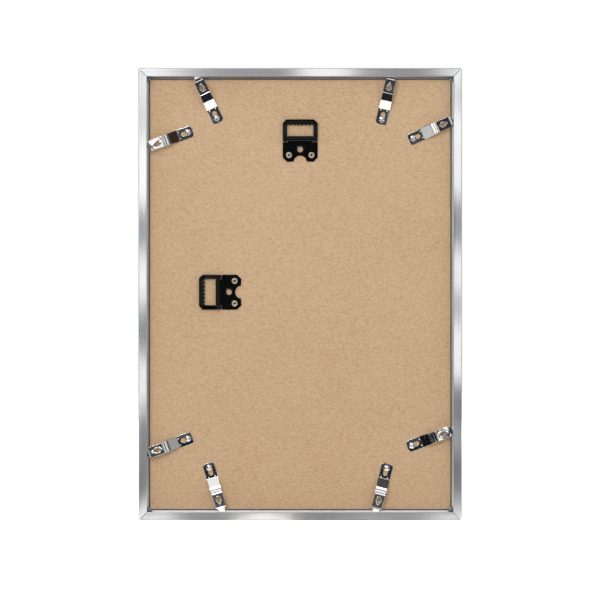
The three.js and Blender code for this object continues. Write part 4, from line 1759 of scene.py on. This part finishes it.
@dataclass
class Package:
    """What the frame holds, and the steel angles in its corners: solids that are right as they are."""

    nodes: dict[str, bpy.types.Object]

    def dress(self, node: str, material: bpy.types.Material) -> None:
        """Gives a node its finish.

        Args:
            node: The node's name.
            material: The finish.
        """
        solid = self.nodes[node]
        solid.data.materials.clear()
        solid.data.materials.append(material)
        LOG.info("%s: %s", node, material.name)

    def build(self) -> None:
        """Dresses board, sheet, glass and corner angles."""
        self.dress("back_board", Fibreboard("sanded_fibreboard").build())
        self.dress("photo_sheet", UncoatedPaper("uncoated_paper").build())
        self.dress("glass_pane", FloatGlass("clear_float_glass").build())
        steel = PlatedMetal(
            "blued_corner_steel",
            dull="#39424c",
            bright="#6d7884",
            roughness_low=0.3,
            roughness_high=0.45,
            cloud_size=3.0,
        ).build()
        for corner in ("top_left", "top_right", "bottom_left", "bottom_right"):
            self.dress(f"corner_angle_{corner}", steel)


def facing_y(x: Flat, y: float, z: Flat) -> list[Vector]:
    """Gives the corners of a rectangle that faces along y, in metres."""
    return [Vector((u, y, v)) for u, v in around(x, z)]


def facing_x(x: float, y: Flat, z: Flat) -> list[Vector]:
    """Gives the corners of a rectangle that faces along x, in metres."""
    return [Vector((x, u, v)) for u, v in around(y, z)]


def facing_z(x: Flat, y: Flat, z: float) -> list[Vector]:
    """Gives the corners of a rectangle that faces along z, in metres."""
    return [Vector((u, v, z)) for u, v in around(x, y)]


@dataclass
class Studio:
    """Floor, white surroundings, soft lamps, flags and cards for the metal to mirror, and the camera."""

    pixel: float = 0.6972
    frame_pixels: int = 600
    lens: float = 250.0
    sensor: float = 36.0
    aim_x: float = -0.14
    aim_z: float = -122.9
    ambient: float = 0.5
    floor_tone: str = "#f2f2f0"
    floor_glow: float = 0.72
    floor_half: float = 4.0
    flag_lift: float = 0.001
    card_drop: float = 0.0005
    edge_drop: float = 0.0008

    WHITE = (1.0, 1.0, 1.0, 1.0)

    def camera(self) -> None:
        """Sets the camera straight behind the frame, at the photograph's framing."""
        data = bpy.data.cameras.new("camera")
        data.lens, data.sensor_width = self.lens, self.sensor
        distance = self.lens / self.sensor * self.pixel * self.frame_pixels
        camera = bpy.data.objects.new("camera", data)
        camera.location = Vector((self.aim_x, -distance, self.aim_z)) * MM
        camera.rotation_euler = (QUARTER, 0.0, 0.0)
        bpy.context.scene.collection.objects.link(camera)
        bpy.context.scene.camera = camera

    def seen(self, tree: bpy.types.NodeTree, low: float, high: float) -> Socket:
        """Tells rays of sight, straight or by way of metal and glass, from rays that gather light.

        Args:
            tree: The node tree.
            low: The value for rays that gather light.
            high: The value for rays of sight.

        Returns:
            The value.
        """
        ray = add_node(tree, "ShaderNodeLightPath").outputs
        sight = ray["Is Camera Ray"]
        for kind in ("Is Glossy Ray", "Is Transmission Ray"):
            sight = add_node(tree, "ShaderNodeMath", {0: sight, 1: ray[kind]}, operation="MAXIMUM").outputs[0]
        spread = {"Value": sight, "To Min": low, "To Max": high}
        return add_node(tree, "ShaderNodeMapRange", spread).outputs[0]

    def world(self) -> None:
        """Makes surroundings that look white, also in metal and glass, and light the rest softly."""
        world = bpy.data.worlds.new("white_surroundings")
        bpy.context.scene.world = world
        tree = emptied(world)
        strength = self.seen(tree, self.ambient, 1.0)
        light = add_node(tree, "ShaderNodeBackground", {"Color": self.WHITE, "Strength": strength})
        add_node(tree, "ShaderNodeOutputWorld", {"Surface": light.outputs[0]})

    def plane(self, name: str, corners: Sequence[Vector], material: bpy.types.Material) -> bpy.types.Object:
        """Adds a flat piece of the stage.

        Args:
            name: Its name.
            corners: Its corners, in metres.
            material: Its material.

        Returns:
            The plane.
        """
        mesh = bpy.data.meshes.new(name)
        mesh.from_pydata(corners, [], [tuple(range(len(corners)))])
        mesh.materials.append(material)
        plane = bpy.data.objects.new(name, mesh)
        bpy.context.scene.collection.objects.link(plane)
        plane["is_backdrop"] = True
        return plane

    def floor(self) -> None:
        """Lays a pale floor under the frame, white to the eye, which keeps the frame's shadow."""
        material = bpy.data.materials.new("pale_floor")
        tree = emptied(material)
        share = self.seen(tree, 0.0, self.floor_glow)
        matt = add_node(tree, "ShaderNodeBsdfDiffuse", {"Color": linear(self.floor_tone)})
        glow = add_node(tree, "ShaderNodeEmission", {"Color": self.WHITE, "Strength": share})
        both = add_node(tree, "ShaderNodeAddShader", {0: matt.outputs[0], 1: glow.outputs[0]})
        add_node(tree, "ShaderNodeOutputMaterial", {"Surface": both.outputs[0]})
        reach = (-self.floor_half, self.floor_half)
        self.plane("floor", facing_z(reach, reach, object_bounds()[0].z), material)

    def flag(
        self,
        name: str,
        tone: str,
        corners: Sequence[Vector],
        rim_tone: str | None = None,
        strength: float = 1.0,
    ) -> None:
        """Hangs a flag, card or glow that only polished surfaces mirror.

        Args:
            name: Its name.
            tone: Its colour.
            corners: Its corners, in metres.
            rim_tone: Its colour away from its middle, if it fades.
            strength: How bright it is.
        """
        material = bpy.data.materials.new(name)
        tree = emptied(material)
        cloth = add_node(tree, "ShaderNodeEmission", {"Color": linear(tone), "Strength": strength})
        if rim_tone:
            place = add_node(tree, "ShaderNodeTexCoord").outputs["Object"]
            middle = sum(corners, Vector()) / len(corners)
            away = add_node(tree, "ShaderNodeVectorMath", {0: place, 1: middle}, operation="DISTANCE")
            reach = {"Value": away.outputs["Value"], "From Max": (corners[0] - middle).length}
            share = add_node(tree, "ShaderNodeMapRange", reach).outputs[0]
            tones = {0: share, 6: linear(tone), 7: linear(rim_tone)}
            fade = add_node(tree, "ShaderNodeMix", tones, data_type="RGBA")
            tree.links.new(fade.outputs[2], cloth.inputs["Color"])
        add_node(tree, "ShaderNodeOutputMaterial", {"Surface": cloth.outputs[0]})
        flag = self.plane(name, corners, material)
        flag.visible_camera = flag.visible_diffuse = flag.visible_shadow = flag.visible_transmission = False

    def flags(self) -> None:
        """Hangs what the metal mirrors, at places in metres.

        The dark flags, glows and glints make the light and dark stretches that the metal shows from behind.
        The grey cards give the sides, the top and the front something to mirror in other views.
        """
        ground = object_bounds()[0].z + self.flag_lift
        lower = ground - self.card_drop
        back, far, near = -3.3, 0.5, 0.26
        foot = -0.2
        wedge = (-far, back), (far, back), (near, foot), (-near, foot)
        tall = (ground, 1.6)
        self.flag("flag_behind_camera", "#0c0d0f", facing_y((-0.56, 0.56), back, (ground, 0.56)), "#6e7175")
        self.flag("flag_on_floor", "#222428", [Vector((x, y, ground)) for x, y in wedge])
        self.flag("flag_far_right", "#77797d", facing_y((1.12, 2.6), back, tall))
        self.flag("flag_far_left", "#9a9ca0", facing_y((-2.6, -1.3), back, tall))
        self.flag("glow_right", "#ffffff", facing_y((0.66, 1.12), back, tall), strength=1.35)
        self.flag("glow_left", "#ffffff", facing_y((-1.3, -0.82), back, tall), strength=1.3)
        self.flag("glow_top", "#ffffff", facing_y((-0.56, 0.56), back, (0.64, 1.6)), strength=1.08)
        self.flag("flag_right", "#3a2c22", facing_x(0.9, (-0.8, 0.0), (0.26, 0.9)))
        self.flag("flag_mid_right", "#a6a5a3", facing_x(0.9, (-0.8, 0.0), (0.03, 0.26)))
        self.flag("flag_low_right", "#38383a", facing_x(0.9, (-0.8, 0.0), (ground, 0.03)))
        self.flag("flag_above_right", "#2c2c2e", facing_z((0.12, 0.9), (-1.0, 0.0), 0.9), "#8a8a8c")
        self.flag("flag_low_left", "#cdcfd2", facing_z((-1.1, -0.28), (-0.5, -0.02), ground))
        self.flag("flag_on_right_floor", "#141518", facing_z((-0.045, -0.012), (-0.2, -0.06), ground))
        self.flag("flag_beside_right_clip", "#141518", facing_x(0.02, (-0.045, -0.008), (-0.262, -0.238)))
        self.flag("glint_left", "#f4f8ff", facing_y((-0.9, -0.3), -1.2, (0.55, 1.15)), strength=9.0)
        self.flag("glint_right", "#e6eeff", facing_y((0.4, 0.8), -1.2, (0.65, 1.05)), strength=5.0)
        wall = (ground, 1.3)
        for side, out in (("left", -1.0), ("right", 1.0)):
            past = 1.3 * out
            self.flag(f"flag_past_{side}", "#5c5f63", facing_x(past, (-1.6, 0.2), wall))
            self.flag(f"card_before_{side}", "#85888c", facing_x(past, (0.2, 2.4), wall), "#d4d5d7")
            floor = facing_z((0.16 * out, past), (0.02, 1.5), ground)
            behind = facing_z((0.2 * out, past), (-1.5, -0.52), lower)
            beside = facing_z((0.116 * out, 0.28 * out), (-0.3, 0.02), lower)
            self.flag(f"card_floor_{side}", "#75787c", floor, "#e6e7e8")
            self.flag(f"card_behind_{side}", "#85888c", behind, "#d4d5d7")
            self.flag(f"card_beside_{side}", "#a9acb0", beside, "#d0d2d5")
        self.flag("card_low_right", "#b8babd", facing_z((0.284, 1.1), (-0.5, -0.02), ground), "#d8dadc")
        self.flag("flag_past_top", "#5c5f63", facing_z((-1.3, 1.3), (-0.4, 0.3), 1.3))
        self.flag("card_past_top", "#85888c", facing_z((-1.3, 1.3), (0.3, 3.0), 1.3), "#dcddde")
        self.flag("card_before_edge", "#85888c", facing_z((-0.16, 0.16), (0.0155, 0.1), lower), "#c2c4c7")
        self.flag("card_before_floor", "#6a6d71", facing_z((-0.16, 0.16), (0.1, 3.0), ground), "#e9eaeb")
        self.flag("card_before", "#75787c", facing_y((-1.0, 1.0), 3.0, wall), "#e6e7e8")
        self.flag("flag_above", "#5c5f63", facing_z((-0.25, 0.25), (-1.6, -0.4), 1.3))
        under = ground - self.edge_drop
        self.flag("flag_under_edge", "#5c5f63", facing_z((-0.113, 0.113), (-0.004, 0.0), under))

    def lamp(self, name: str, at: Vector, size: Flat, watts: float) -> None:
        """Hangs a soft lamp that faces the frame.

        Args:
            name: Its name.
            at: Its place, in metres.
            size: Its width and height, in metres.
            watts: Its power.
        """
        data = bpy.data.lights.new(name, "AREA")
        data.shape = "RECTANGLE"
        data.size, data.size_y = size
        data.energy = watts
        lamp = bpy.data.objects.new(name, data)
        lamp.location = at
        aim = Vector((self.aim_x, 0.0, self.aim_z)) * MM
        lamp.rotation_euler = (aim - at).to_track_quat("-Z", "Y").to_euler()
        lamp.visible_glossy = False
        bpy.context.scene.collection.objects.link(lamp)

    def build(self) -> None:
        """Sets up the whole studio."""
        self.camera()
        self.world()
        self.floor()
        self.flags()
        self.lamp("key_lamp", Vector((-0.45, -2.1, 0.4)), (1.1, 1.0), 21.2)
        self.lamp("fill_lamp", Vector((1.1, -2.0, 0.2)), (1.2, 1.2), 6.0)
        self.lamp("front_lamp", Vector((0.5, 2.2, 0.5)), (1.2, 1.0), 20.0)


def main() -> None:
    """Loads the frame, dresses it and sets it in the studio."""
    logging.basicConfig(level=logging.INFO, format="%(name)s: %(message)s")
    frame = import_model()
    bpy.context.scene.view_settings.view_transform = "Standard"
    Studio().build()
    Package(frame["nodes"]).build()
    Rails().build()
    SpringClip().build()
    SawtoothHanger().build()


if __name__ == "__main__":
    main()
